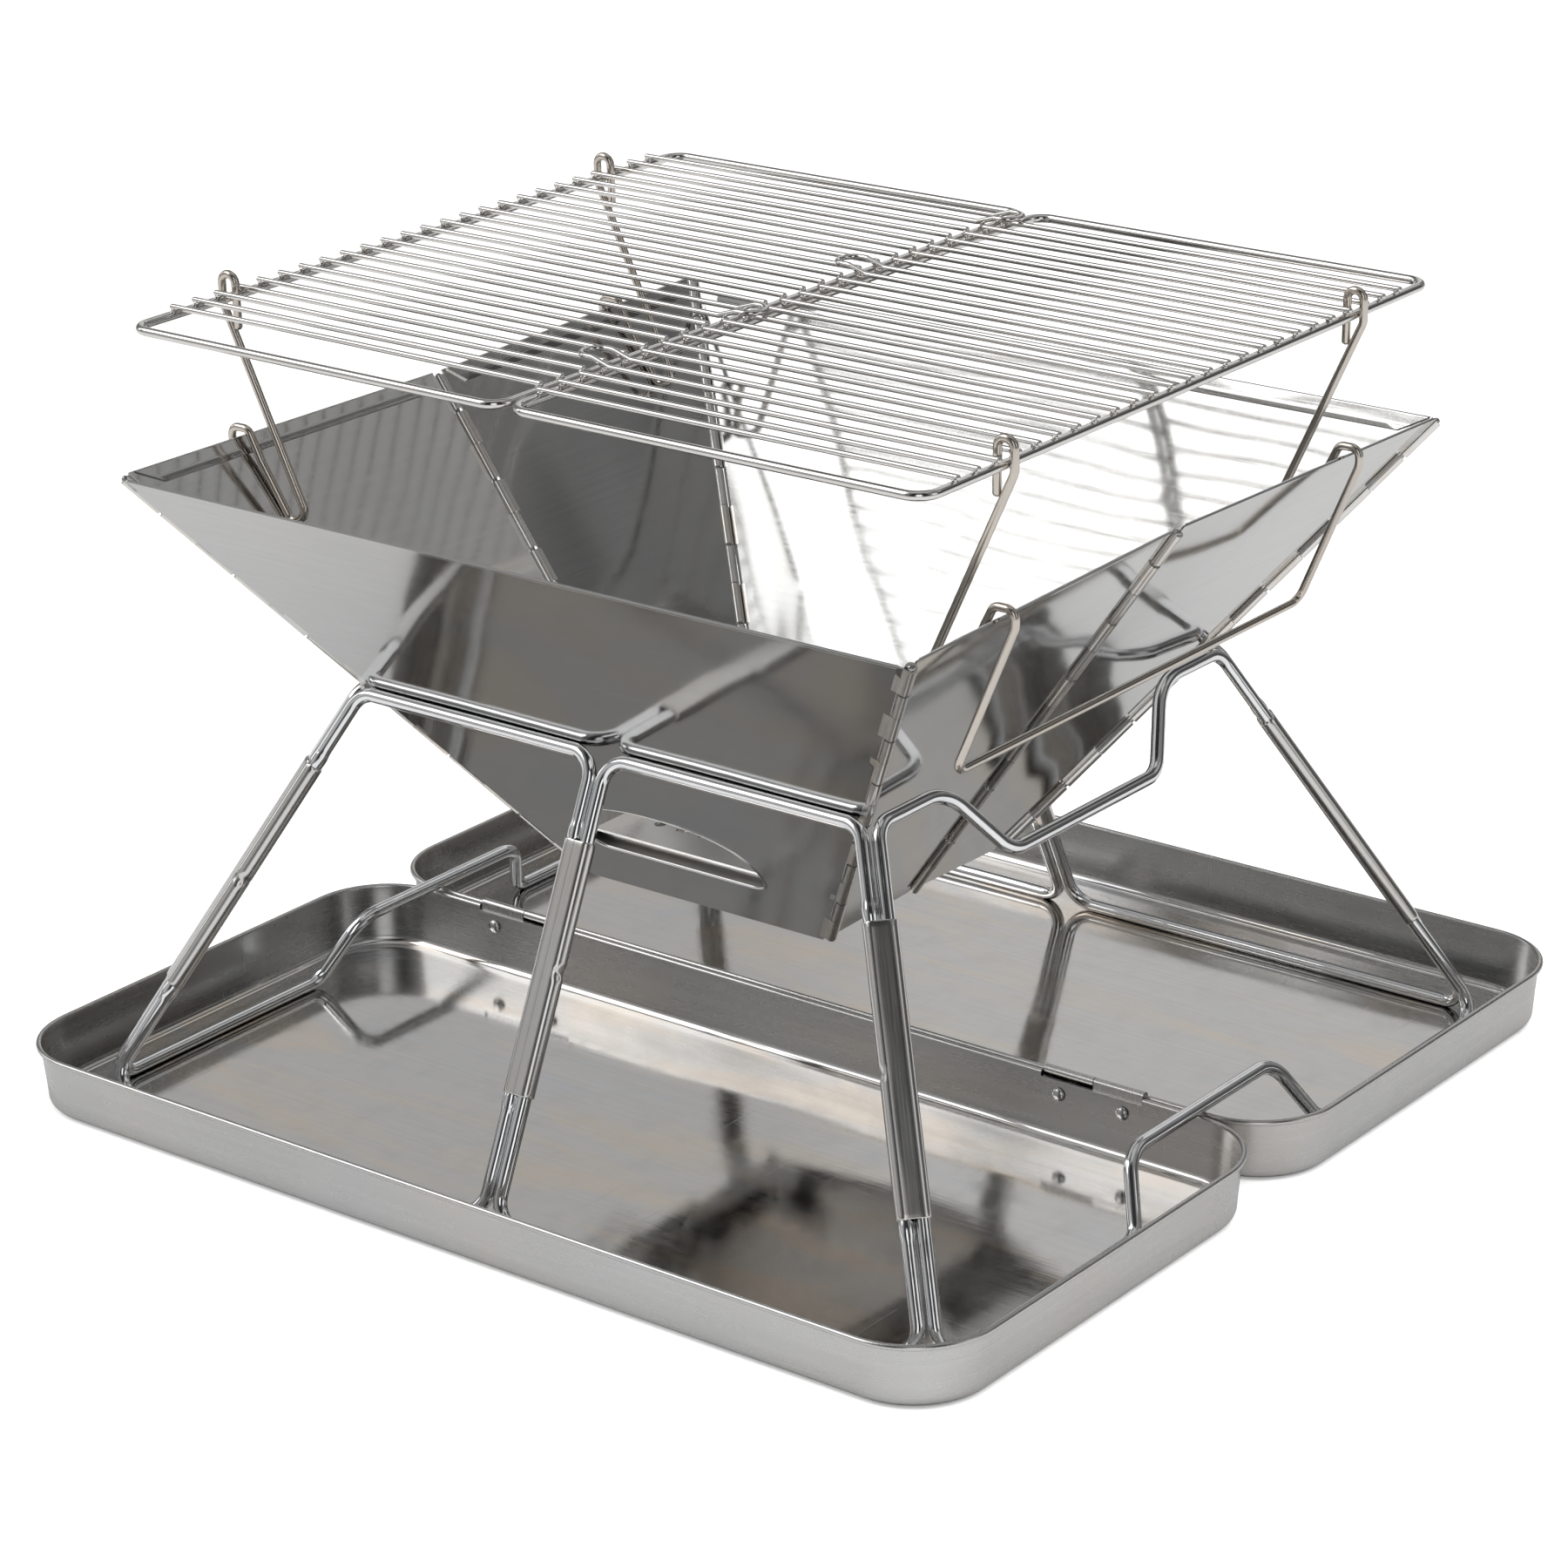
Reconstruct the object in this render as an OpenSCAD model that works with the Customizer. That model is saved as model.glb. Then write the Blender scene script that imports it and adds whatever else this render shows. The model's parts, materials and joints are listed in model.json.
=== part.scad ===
// Folding camp grill: two shallow carrying trays that open flat under a folding
// wire stand, a folding sheet-metal firebox, a charcoal plate, two wire brackets
// and two hinged cooking grates. Millimetres. +X runs along the front edge to the
// right, +Y runs to the rear, +Z is up. The origin is on the ground, midway
// between the two trays.

/* [Trays] */
// Width of each tray over its rolled rim
tray_width = 500; // [420:1:580]
// Depth of each tray over its rolled rim
tray_depth = 239.6; // [200:0.2:280]
// Height of the rim top above the ground
tray_height = 29; // [22:0.5:40]
// Corner radius of the tray rim in plan
tray_radius = 38; // [20:1:60]
// Sheet thickness of the trays
tray_sheet = 0.8; // [0.6:0.1:1.5]
// Distance of each tray hinge from the middle of the joint
hinge_x = 157; // [120:1:190]

/* [Firebox] */
// Half width of the firebox between its corner hinge axes at the top edge
box_half_width = 203.5; // [180:0.5:225]
// Half depth of the firebox between its corner hinge axes at the top edge
box_half_depth = 187.5; // [160:0.5:210]
// Height of the firebox top edge
box_top = 279.3; // [250:0.1:300]
// Height of the firebox open bottom edge
box_bottom = 93.4; // [70:0.1:120]
// Height of the point where all the firebox hinge axes meet
box_apex = 6; // [0:1:30]
// Inward set of the side hinge axes at the top edge
side_inset = 7; // [3:0.5:15]
// Sheet thickness of the firebox walls
box_sheet = 0.8; // [0.6:0.1:1.5]
// Outer radius of the rolled hinge knuckles
knuckle_r = 2.5; // [2:0.1:3.5]
// Number of alternating knuckles along each firebox hinge
knuckles = 13; // [7:2:17]

/* [Stand] */
// Diameter of the stand wire
stand_wire = 6; // [5:0.5:8]
// Height of the centre of the upper stand wires
stand_top = 180; // [160:1:200]
// Spread of the feet against the upper wires
foot_spread = 1.64; // [1.4:0.01:1.8]
// Centre distance of the two wires inside a leg sleeve
wire_pitch = 6.5; // [6.3:0.1:7.5]
// Height of the lower end of the leg sleeves
sleeve_bottom = 51; // [40:1:70]
// Height of the upper end of the leg sleeves
sleeve_top = 148; // [130:1:160]

/* [Grates and brackets] */
// Height of the centre of the grate rails
grate_z = 340; // [310:1:360]
// Half width of the opened grates between the outer end rails
grate_x = 202; // [180:1:220]
// Half depth of the grates between the front and rear rails
grate_y = 177; // [150:1:200]
// Diameter of the grate rails
rail_wire = 4; // [3:0.5:6]
// Diameter of the grate bars
bar_wire = 2.5; // [2:0.1:4]
// Number of bars on each grate
bars = 25; // [15:1:31]
// Distance between neighbouring bars
bar_pitch = 12.9; // [10:0.1:16]
// Diameter of the bracket wire
bracket_wire = 3.6; // [3:0.1:5]
// Half distance between the two legs of a bracket
bracket_y = 122.55; // [100:0.05:150]

/* [Hidden] */
$fn = 48;

steel = [0.72, 0.72, 0.71];
chrome = [0.82, 0.83, 0.85];
mirror_steel = [0.62, 0.62, 0.62];
nickel = [0.74, 0.70, 0.64];
plate_steel = [0.62, 0.61, 0.60];

// Throughout, side is -1 for left and 1 for right, end is -1 for front and 1 for rear.

// ---- helpers ----
function unit(v) = v / norm(v);
function reversed(list) = [for (i = [len(list) - 1:-1:0]) list[i]];

// Places children with their axes along the three directions at origin.
module frame(origin, x_dir, y_dir, z_dir)
    multmatrix([[x_dir.x, y_dir.x, z_dir.x, origin.x],
                [x_dir.y, y_dir.y, z_dir.y, origin.y],
                [x_dir.z, y_dir.z, z_dir.z, origin.z],
                [0, 0, 0, 1]]) children();

// Places children with their z axis along direction.
module along(origin, direction) {
    z_dir = unit(direction);
    helper = abs(z_dir.x) < 0.9 ? [1, 0, 0] : [0, 1, 0];
    x_dir = unit(cross(helper, z_dir));
    frame(origin, x_dir, cross(z_dir, x_dir), z_dir) children();
}

bend_lap = 0.4;      // how far a straight runs into the bend beside it
bend_swell = 0.06;   // bends come out a touch thicker than the wire

// Round wire through points; bends holds one bend radius per point.
module wire(points, radius, bends, closed = false) {
    count = len(points);
    function heading(i) = unit(points[(i + 1) % count] - points[i]);
    function before(i) = heading((i + count - 1) % count);
    function inside(i) = closed || (i > 0 && i < count - 1);
    function turn(i) = inside(i) ? acos(max(-1, min(1, before(i) * heading(i)))) : 0;
    function setback(i) = bends[i] * tan(turn(i) / 2);
    function lap(i) = turn(i) > 0.01 ? bend_lap : 0;
    for (i = [0:closed ? count - 1 : count - 2]) {
        j = (i + 1) % count;
        start = points[i] + heading(i) * setback(i);
        finish = points[j] - heading(i) * setback(j);
        along(start - heading(i) * lap(i), heading(i))
            cylinder(r = radius, h = norm(finish - start) + lap(i) + lap(j));
    }
    for (i = [0:count - 1]) if (turn(i) > 0.01) {
        inward = unit(heading(i) - before(i));
        centre = points[i] + inward * bends[i] / cos(turn(i) / 2);
        start = points[i] - before(i) * setback(i);
        x_dir = unit(start - centre);
        frame(centre, x_dir, before(i), cross(x_dir, before(i)))
            rotate_extrude(angle = turn(i))
                translate([bends[i], 0]) circle(r = radius + bend_swell);
    }
}

// ---- trays ----
bead_r = 1.3;                     // rolled rim
wall_inset = 2 * bead_r - 0.6;    // tray outline to outer wall face
joint = 0.4;                      // half gap between the rims at the joint
draft = 2;                        // the walls lean in by this much at the floor
fillet = 5;                       // floor to wall
// Radii about the corner centre
wall_r = tray_radius - wall_inset;
floor_r = wall_r - draft - fillet;
corner_x = tray_width / 2 - tray_radius;
corner_y = tray_depth / 2 - tray_radius;

// One face of the wall, inset from the outer face; x runs out from the corner centre.
function wall_face(inset) = let (bend = fillet - inset)
    concat([for (a = [0:15:90]) [floor_r + bend * sin(a), fillet - bend * cos(a)]],
           [[wall_r - inset, tray_height - 1]]);

module tray_section() {
    polygon(concat(wall_face(0), reversed(wall_face(tray_sheet))));
    translate([wall_r + 0.5, tray_height - bead_r]) circle(r = bead_r);
}

module tray_shell() {
    for (q = [[1, 1, 0], [-1, 1, 90], [-1, -1, 180], [1, -1, 270]])
        translate([q[0] * corner_x, q[1] * corner_y, 0]) rotate([0, 0, q[2]])
            rotate_extrude(angle = 90) tray_section();
    for (angle = [0, 180]) rotate([0, 0, angle]) {
        frame([corner_x, -corner_y, 0], [1, 0, 0], [0, 0, 1], [0, -1, 0])
            mirror([0, 0, 1]) linear_extrude(2 * corner_y) tray_section();
        frame([-corner_x, corner_y, 0], [0, 1, 0], [0, 0, 1], [1, 0, 0])
            linear_extrude(2 * corner_x) tray_section();
    }
    linear_extrude(tray_sheet) {
        square([2 * (corner_x + floor_r), 2 * corner_y], center = true);
        square([2 * corner_x, 2 * (corner_y + floor_r)], center = true);
        for (x = [-1, 1], y = [-1, 1])
            translate([x * corner_x, y * corner_y]) circle(r = floor_r);
    }
}

// ---- tray hinges, drawn for the front tray and mirrored for the rear one ----
hinge_len = 50;
hinge_z = tray_height + 0.1;      // height of the hinge axis
hinge_r = 2;
hinge_pin_r = 1.1;
notch = 2.75;                     // depth of the rim cut-out below the hinge axis
notch_play = 0.6;                 // between notch and hinge at each end
half_gap = 0.2;                   // from hinge middle to the right-hand knuckle
leaf_sheet = 0.8;
leaf_y = 0.02 - joint - wall_inset;    // leaf face against the tray wall
leaf_face = -leaf_y - leaf_sheet;      // depth of the other face behind y = 0
leaf_bottom = 13.5;
strip_bottom = 20;                // lower end of the strip that carries the knuckle
rivet_z = 20.5;
rivet_offset = 16;                // rivet to hinge middle
rivet_hole_r = 1.65;
rivet_inner = 4.1;                // depth where the head inside the tray begins

module hinge_cylinder(x, radius, length)
    translate([x, 0, hinge_z]) rotate([0, 90, 0]) cylinder(r = radius, h = length);

module rivet_holes(x, y)
    for (d = [-1, 1] * rivet_offset)
        translate([x + d, y, rivet_z]) rotate([90, 0, 0]) cylinder(r = rivet_hole_r, h = 12);

module tray() difference() {
    translate([0, -joint - tray_depth / 2, 0]) tray_shell();
    for (x = [-1, 1] * hinge_x) {
        translate([x - hinge_len / 2 - notch_play, -6, hinge_z - notch])
            cube([hinge_len + 2 * notch_play, 12, 10]);
        rivet_holes(x, 0);
    }
}

// knuckle_side tells which half of the length carries the knuckle.
module tray_leaf(x, knuckle_side) {
    knuckle_x = knuckle_side > 0 ? x + half_gap : x - hinge_len / 2;
    knuckle_len = hinge_len / 2 - half_gap;
    difference() {
        union() {
            translate([x - hinge_len / 2, leaf_y, leaf_bottom])
                cube([hinge_len, leaf_sheet, hinge_z - hinge_r - 0.6 - leaf_bottom]);
            translate([knuckle_x, leaf_y, strip_bottom])
                cube([knuckle_len, leaf_sheet, hinge_z - strip_bottom]);
            hinge_cylinder(knuckle_x, hinge_r, knuckle_len);
        }
        hinge_cylinder(x - hinge_len, hinge_pin_r + 0.05, 2 * hinge_len);
        rivet_holes(x, 5);
    }
}

// Half section of a rivet: radius, depth behind y = 0.
rivet_section = [
    [0, leaf_face - 0.55], [2.6, leaf_face - 0.55], [2.6, leaf_face - 0.02],
    [1.6, leaf_face - 0.02], [1.6, rivet_inner], [3.1, rivet_inner],
    [2.9, rivet_inner + 0.7], [2.2, rivet_inner + 1.3], [1.2, rivet_inner + 1.6],
    [0, rivet_inner + 1.7]];
module tray_rivets()
    for (x = [-1, 1] * hinge_x, d = [-1, 1] * rivet_offset)
        translate([x + d, 0, rivet_z]) rotate([90, 0, 0])
            rotate_extrude() polygon(rivet_section);

module front_tray() color(steel) tray();
module rear_tray() color(steel) mirror([0, 1, 0]) tray();
module tray_hinge_front_leaves() color(steel)
    for (side = [-1, 1]) tray_leaf(side * hinge_x, side);
module tray_hinge_rear_leaves() color(steel) mirror([0, 1, 0])
    for (side = [-1, 1]) tray_leaf(side * hinge_x, -side);
module tray_hinge_pins() color(chrome)
    for (x = [-1, 1] * hinge_x)
        hinge_cylinder(x - hinge_len / 2 - 0.8, hinge_pin_r, hinge_len + 1.6);
module front_tray_rivets() color(steel) tray_rivets();
module rear_tray_rivets() color(steel) mirror([0, 1, 0]) tray_rivets();

// ---- firebox ----
apex = [0, 0, box_apex];
// Outward lean of the hinge axes per unit of height
lean_x = box_half_width / (box_top - box_apex);
lean_y = box_half_depth / (box_top - box_apex);
side_lean = (box_half_width - side_inset) / (box_top - box_apex);
wall_offset = 1.98;      // front and rear sheets outside their axes
side_offset = -0.6;      // side sheets inside their axes
wall_setback = 2.2;      // front and rear sheet edge to hinge axis
side_setback = 3;        // side sheet edge to hinge axis
bore_r = 1.5;
box_pin_r = 1.45;
hem = 8.5;               // height of the folded hem
// Air slot
slot_half_width = 48;
slot_bottom = 116.4;
slot_rise = 28.5;
slot_tip = 7;            // height of the tips above the lower edge

// Hinge axes as unit directions from the apex
function corner_axis(side, end) = unit([side * lean_x, end * lean_y, 1]);
function side_axis(side) = unit([side * side_lean, 0, 1]);
// Distance along an axis from the apex to height z
function axis_length(axis, z) = (z - box_apex) / axis.z;

// Sheet between two hinge axes, taken counter-clockwise seen from above. Each axis
// is given the parity of the knuckle zones that this sheet fills.
module panel(axis_a, axis_b, parity_a, parity_b, wall = false) {
    offset_out = wall ? wall_offset : side_offset;
    x_dir = unit(axis_b * axis_length(axis_b, box_top) - axis_a * axis_length(axis_a, box_top));
    outward = unit(cross(axis_b, axis_a));
    up = cross(outward, x_dir);
    function flat(axis, z) = let (p = axis * axis_length(axis, z)) [p * x_dir, p * up];
    bottom_a = flat(axis_a, box_bottom);
    top_a = flat(axis_a, box_top);
    bottom_b = flat(axis_b, box_bottom);
    top_b = flat(axis_b, box_top);
    setback = wall ? wall_setback : side_setback;
    inset_a = [setback / unit(top_a - bottom_a).y, 0];
    inset_b = [-setback / unit(top_b - bottom_b).y, 0];
    slope_a = (top_a.x - bottom_a.x) / (top_a.y - bottom_a.y);
    slope_b = (top_b.x - bottom_b.x) / (top_b.y - bottom_b.y);
    difference() {
        frame(apex, x_dir, up, outward) {
            difference() {
                translate([0, 0, offset_out - box_sheet / 2]) linear_extrude(box_sheet)
                    polygon([bottom_a + inset_a, bottom_b + inset_b,
                             top_b + inset_b, top_a + inset_a]);
                if (wall) translate([0, 0, -6]) linear_extrude(12) slot_shape(bottom_a.y);
            }
            // hem inside the top edge, its ends cut back
            translate([0, 0, offset_out - 1.5 * box_sheet]) linear_extrude(box_sheet + 0.01)
                polygon([top_a + inset_a + [11 - 9 * slope_a, -hem],
                         top_b + inset_b - [11 + 9 * slope_b, hem],
                         top_b + inset_b - [3, 0], top_a + inset_a + [3, 0]]);
        }
        // keep the sheet clear of the bores
        for (axis = [axis_a, axis_b]) along(apex, axis) cylinder(r = bore_r, h = 500);
    }
    knuckle_row(axis_a, x_dir, parity_a, -offset_out);
    knuckle_row(axis_b, -x_dir, parity_b, offset_out);
}

// Rolled knuckles of one sheet edge; toward points from the axis into the sheet.
module knuckle_row(axis, toward, parity, sheet_y) {
    start = axis_length(axis, box_bottom) + 0.6;
    step = (axis_length(axis, box_top) - 2 - start) / knuckles;
    x_dir = unit(toward - axis * (toward * axis));
    length = step - (parity == 1 ? 1.5 : 0.4);    // odd knuckles are shorter
    for (i = [0:knuckles - 1]) if (i % 2 == parity)
        frame(apex + axis * (start + i * step + 0.2), x_dir, cross(axis, x_dir), axis)
            difference() {
                union() {
                    cylinder(r = knuckle_r, h = length);
                    translate([0, sheet_y - box_sheet / 2, 0])
                        cube([side_setback + 0.6, box_sheet, length]);
                }
                translate([0, 0, -1]) cylinder(r = bore_r, h = step + 2);
            }
}

// Air slot: straight lower edge, small rounded tips, arched top.
module slot_shape(sheet_bottom) {
    stretch = norm([1, lean_y]);     // sheet length per unit of height
    base = sheet_bottom + (slot_bottom - box_bottom) * stretch;
    arch = slot_rise * stretch - slot_tip;
    polygon(concat(
        [for (a = [0:6:180])
            [slot_half_width * cos(a) * pow(max(0.0001, abs(cos(a))), -0.18),
             base + slot_tip + arch * pow(sin(a), 0.85)]],
        [for (a = [15:15:90])
            [-slot_half_width + 10 * (1 - cos(a)), base + slot_tip * (1 - sin(a))]],
        [for (a = [90:-15:15])
            [slot_half_width - 10 * (1 - cos(a)), base + slot_tip * (1 - sin(a))]]));
}

module hinge_pin(axis) {
    start = axis_length(axis, box_bottom) + 0.2;
    finish = axis_length(axis, box_top) - 0.8;
    along(apex + axis * start, axis) cylinder(r = box_pin_r, h = finish - start);
}

module firebox_front_wall() color(mirror_steel)
    panel(corner_axis(-1, -1), corner_axis(1, -1), 0, 0, wall = true);
module firebox_rear_wall() color(mirror_steel)
    panel(corner_axis(1, 1), corner_axis(-1, 1), 0, 0, wall = true);
module firebox_right_front_panel() color(mirror_steel)
    panel(corner_axis(1, -1), side_axis(1), 1, 0);
module firebox_right_rear_panel() color(mirror_steel)
    panel(side_axis(1), corner_axis(1, 1), 1, 1);
module firebox_left_front_panel() color(mirror_steel)
    panel(side_axis(-1), corner_axis(-1, -1), 0, 1);
module firebox_left_rear_panel() color(mirror_steel)
    panel(corner_axis(-1, 1), side_axis(-1), 1, 1);
module firebox_front_pins() color(chrome)
    for (side = [-1, 1]) hinge_pin(corner_axis(side, -1));
module firebox_rear_pins() color(chrome)
    for (side = [-1, 1]) hinge_pin(corner_axis(side, 1));
module firebox_right_pin() color(chrome) hinge_pin(side_axis(1));
module firebox_left_pin() color(chrome) hinge_pin(side_axis(-1));

// ---- charcoal plate ----
plate_z = 108;           // underside
plate_sheet = 1;
plate_x = side_lean * (plate_z - box_apex) - 4.2;    // half width
plate_y = lean_y * (plate_z - box_apex) - 1.2;       // half depth
plate_cut = 9;           // corner chamfer
flange = 17;             // sloping length of the flanges
rib_r = 2.2;
plate_hole_r = 2.6;

// Flange on the edge at reach from the middle, widening by flare at each end.
module plate_flange(outward, reach, lean, half_len, flare)
    frame(outward * (reach - 0.9) + [0, 0, plate_z + 0.2], [outward.y, -outward.x, 0],
          unit(outward * lean + [0, 0, 1]), unit([0, 0, lean] - outward))
        mirror([1, 0, 0]) mirror([0, 0, 1]) linear_extrude(plate_sheet)
            polygon([[-half_len, 0], [half_len, 0],
                     [half_len + flare, flange], [-half_len - flare, flange]]);

module charcoal_plate() color(plate_steel) difference() {
    cut_x = plate_x - plate_cut;
    cut_y = plate_y - plate_cut;
    union() {
        translate([0, 0, plate_z]) linear_extrude(plate_sheet)
            polygon([[-cut_x, -plate_y], [cut_x, -plate_y], [plate_x, -cut_y],
                     [plate_x, cut_y], [cut_x, plate_y], [-cut_x, plate_y],
                     [-plate_x, cut_y], [-plate_x, -cut_y]]);
        for (s = [-1, 1]) {
            plate_flange([0, s, 0], plate_y, lean_y, cut_x, 8);
            plate_flange([s, 0, 0], plate_x, side_lean, cut_y, 7);
        }
        // pressed ribs
        for (y = [-22, 0, 22]) translate([0, y, plate_z + 0.5]) rotate([0, 90, 0])
            cylinder(r = rib_r, h = 2 * plate_x - 24, center = true);
    }
    for (x = [-4:4], y = [-33, -11, 11, 33])
        translate([x * 12, y, plate_z - 5]) cylinder(r = plate_hole_r, h = 10);
    // trim everything below the underside
    translate([-200, -200, plate_z - 20]) cube([400, 400, 20]);
}

// ---- stand ----
stand_r = stand_wire / 2;
box_clear = stand_r + knuckle_r + 0.1;    // upper wire centre to hinge axis
top_x = lean_x * (stand_top - box_apex) + box_clear * norm([1, lean_x]);
top_y = lean_y * (stand_top - box_apex) + box_clear * norm([1, lean_y]);
foot_z = tray_sheet + stand_r + 0.05;
// How far the legs run outward and down from the upper wires
run_x = top_x * foot_spread - top_x;
run_y = top_y * foot_spread - top_y;
drop = stand_top - foot_z;
// Shift of each leg wire from the corner line, so the pair sits wire_pitch apart
front_normal = unit([0, -drop, run_y]);
side_normal = unit([drop, 0, run_x]);
wedge = 180 - acos(abs(front_normal * side_normal));
wedge_shift = wire_pitch / (2 * sin(wedge / 2));
front_slant = norm([run_y, drop]);
side_slant = norm([run_x, drop]);
front_shift = wedge_shift * norm([front_slant, run_x]) / front_slant;
side_shift = wedge_shift * norm([side_slant, run_y]) / side_slant;

// Points at height z on the corner line, on the leg wires and in the side plane
function corner_line(side, end, z) = let (t = (stand_top - z) / drop)
    [side * (top_x + run_x * t), end * (top_y + run_y * t), z];
function front_leg(side, end, z) = corner_line(side, end, z) - [side * front_shift, 0, 0];
function side_leg(side, end, z) = corner_line(side, end, z) - [0, end * side_shift, 0];
function mid_leg(side, end, z) = [side * wire_pitch / 2, corner_line(side, end, z).y, z];
function on_side(side, y, z) = [corner_line(side, 1, z).x, y, z];

bend_r = 11;             // loop corners
collar_gap = 3;          // collar to sleeve end, in height
collar_h = 2.4;
// Downward jog of the upper side wire
jog_z = 149.5;
jog_outer_y = 77;
jog_inner_y = 52;
jog_outer_r = 24;
jog_inner_r = 14;
// Rise of the lower side wire over the tray rims
over_z = tray_height + stand_r + 0.5;
over_outer_y = 69;
over_inner_y = 53;
over_outer_r = 10;
over_inner_r = 16;

module collar(origin, direction)
    along(origin, direction) translate([0, 0, -collar_h / 2])
        cylinder(r = stand_r + 0.45, h = collar_h);

// Front loop; mirrored for the rear.
module half_loop(side) {
    wire([mid_leg(side, -1, stand_top), front_leg(side, -1, stand_top),
          front_leg(side, -1, foot_z), mid_leg(side, -1, foot_z)],
         stand_r, [bend_r, bend_r, bend_r, bend_r], closed = true);
    for (z = [sleeve_bottom - collar_gap, sleeve_top + collar_gap]) {
        collar(front_leg(side, -1, z), [side * run_x, -run_y, -drop]);
        if (side < 0) collar(mid_leg(side, -1, z), [0, -run_y, -drop]);
    }
}

module side_loop(side)
    wire([side_leg(side, -1, stand_top),
          on_side(side, -jog_outer_y, stand_top), on_side(side, -jog_inner_y, jog_z),
          on_side(side, jog_inner_y, jog_z), on_side(side, jog_outer_y, stand_top),
          side_leg(side, 1, stand_top), side_leg(side, 1, foot_z),
          on_side(side, over_outer_y, foot_z), on_side(side, over_inner_y, over_z),
          on_side(side, -over_inner_y, over_z), on_side(side, -over_outer_y, foot_z),
          side_leg(side, -1, foot_z)],
         stand_r,
         [bend_r, jog_outer_r, jog_inner_r, jog_inner_r, jog_outer_r, bend_r,
          bend_r, over_outer_r, over_inner_r, over_inner_r, over_outer_r, bend_r],
         closed = true);

// ---- leg sleeves ----
sleeve_r = stand_r + 0.9;
sleeve_play = 0.05;
loose_play = 0.35;       // second bore of the front middle sleeve

// Formed sheet around a leg wire from bottom to top and the parallel wire whose
// lower end is at other.
module sleeve(bottom, top, other, other_play = sleeve_play) {
    z_dir = unit(top - bottom);
    across = (other - bottom) - z_dir * ((other - bottom) * z_dir);
    x_dir = unit(across);
    gap = norm(across);
    length = norm(top - bottom);
    frame(bottom, x_dir, cross(z_dir, x_dir), z_dir) difference() {
        union() {
            cylinder(r = sleeve_r, h = length);
            translate([gap, 0, 0]) cylinder(r = sleeve_r, h = length);
            translate([0, -sleeve_r + 0.04, 0]) cube([gap, 2 * sleeve_r - 0.08, length]);
        }
        translate([0, 0, -1]) cylinder(r = stand_r + sleeve_play, h = length + 2);
        translate([gap, 0, -1]) cylinder(r = stand_r + other_play, h = length + 2);
        translate([0, -stand_r + 0.1, -1]) cube([gap, 2 * stand_r - 0.2, length + 2]);
        // seam of the rolled sheet along one flat face
        translate([gap / 2 - 0.15, 2, -1]) cube([0.3, 8, length + 2]);
        // nick in the rounded edge about half way up
        translate([-sleeve_r - 0.4, -1.6, length * 0.47]) cube([1.1, 3.2, 5]);
    }
}
module corner_sleeve(side, end)
    sleeve(front_leg(side, end, sleeve_bottom), front_leg(side, end, sleeve_top),
           side_leg(side, end, sleeve_bottom));
module middle_sleeve(end, other_play)
    sleeve(mid_leg(1, end, sleeve_bottom), mid_leg(1, end, sleeve_top),
           mid_leg(-1, end, sleeve_bottom), other_play);

module stand_front_left_loop() color(chrome) half_loop(-1);
module stand_front_right_loop() color(chrome) half_loop(1);
module stand_right_loop() color(chrome) side_loop(1);
module stand_rear_right_loop() color(chrome) mirror([0, 1, 0]) half_loop(1);
module stand_rear_left_loop() color(chrome) mirror([0, 1, 0]) half_loop(-1);
module stand_left_loop() color(chrome) side_loop(-1);
module sleeve_front_left() color(steel) corner_sleeve(-1, -1);
module sleeve_front_middle() color(steel) middle_sleeve(-1, loose_play);
module sleeve_front_right() color(steel) corner_sleeve(1, -1);
module sleeve_rear_right() color(steel) corner_sleeve(1, 1);
module sleeve_rear_middle() color(steel) middle_sleeve(1, sleeve_play);
module sleeve_rear_left() color(steel) corner_sleeve(-1, 1);

// ---- brackets ----
bracket_r = bracket_wire / 2;
rail_r = rail_wire / 2;
eye = rail_r + 0.05 + bracket_r;     // wire centre to rail centre in the eye
hook_z = box_top + bracket_r + 2.25;

// Distance of the side hinge plane from the middle at depth y and height z
function wall_x(z, y) = let (h = z - box_apex)
    h * (side_lean + (lean_x - side_lean) * abs(y) / (lean_y * h));

// One leg in its own upright plane, from the tail over the eye to the handle.
// Columns: distance from the middle, height, bend radius.
function leg_stations(y) = [
    [grate_x - eye - 0.4, grate_z - 13.5, 0],
    [grate_x - eye, grate_z + 10, eye - 0.02],
    [grate_x + eye, grate_z + 10, eye - 0.02],
    [grate_x + eye, grate_z - 3, 6],
    [164.5, 250.5, 4.2],
    [wall_x(252, y) - 8, 246, 4.2],
    [wall_x(270, y) - 5.2, 270, 8],
    [wall_x(box_top, y) - 5, hook_z, 4],
    [wall_x(box_top, y) + 4.6, hook_z, 4],
    [wall_x(box_top, y) + 4.6, box_top - 3, 8],
    [177.5, 212, 6]];
// The legs sit midway between neighbouring grate bars.
function bracket_leg(side, end) = let (y = end * bracket_y - side * bar_pitch / 4)
    [for (s = leg_stations(y)) [side * s[0], y, s[1]]];
bracket_bends = [for (s = leg_stations(0)) s[2]];

module bracket(side)
    wire(concat(bracket_leg(side, -1), reversed(bracket_leg(side, 1))), bracket_r,
         concat(bracket_bends, reversed(bracket_bends)));
module bracket_right() color(nickel) bracket(1);
module bracket_left() color(nickel) bracket(-1);

// ---- grates ----
bar_r = bar_wire / 2;
bar_z = grate_z + rail_r + bar_r + 0.02;
bar_end = grate_x + 2.4;     // outer bar ends, beyond the outer rail
bar_inner = 1.2;             // inner bar ends to the middle
rail_inner = 3;              // inner rail centre to the middle
rail_bend = 9;
loop_rise = 2.8;             // raised part of a hinge loop above the bars
loop_bends = [0, 5, 5, 6.3];

function bar_y(side, i) = (i - (bars - 1) / 2) * bar_pitch - side * bar_pitch / 4;
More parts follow.
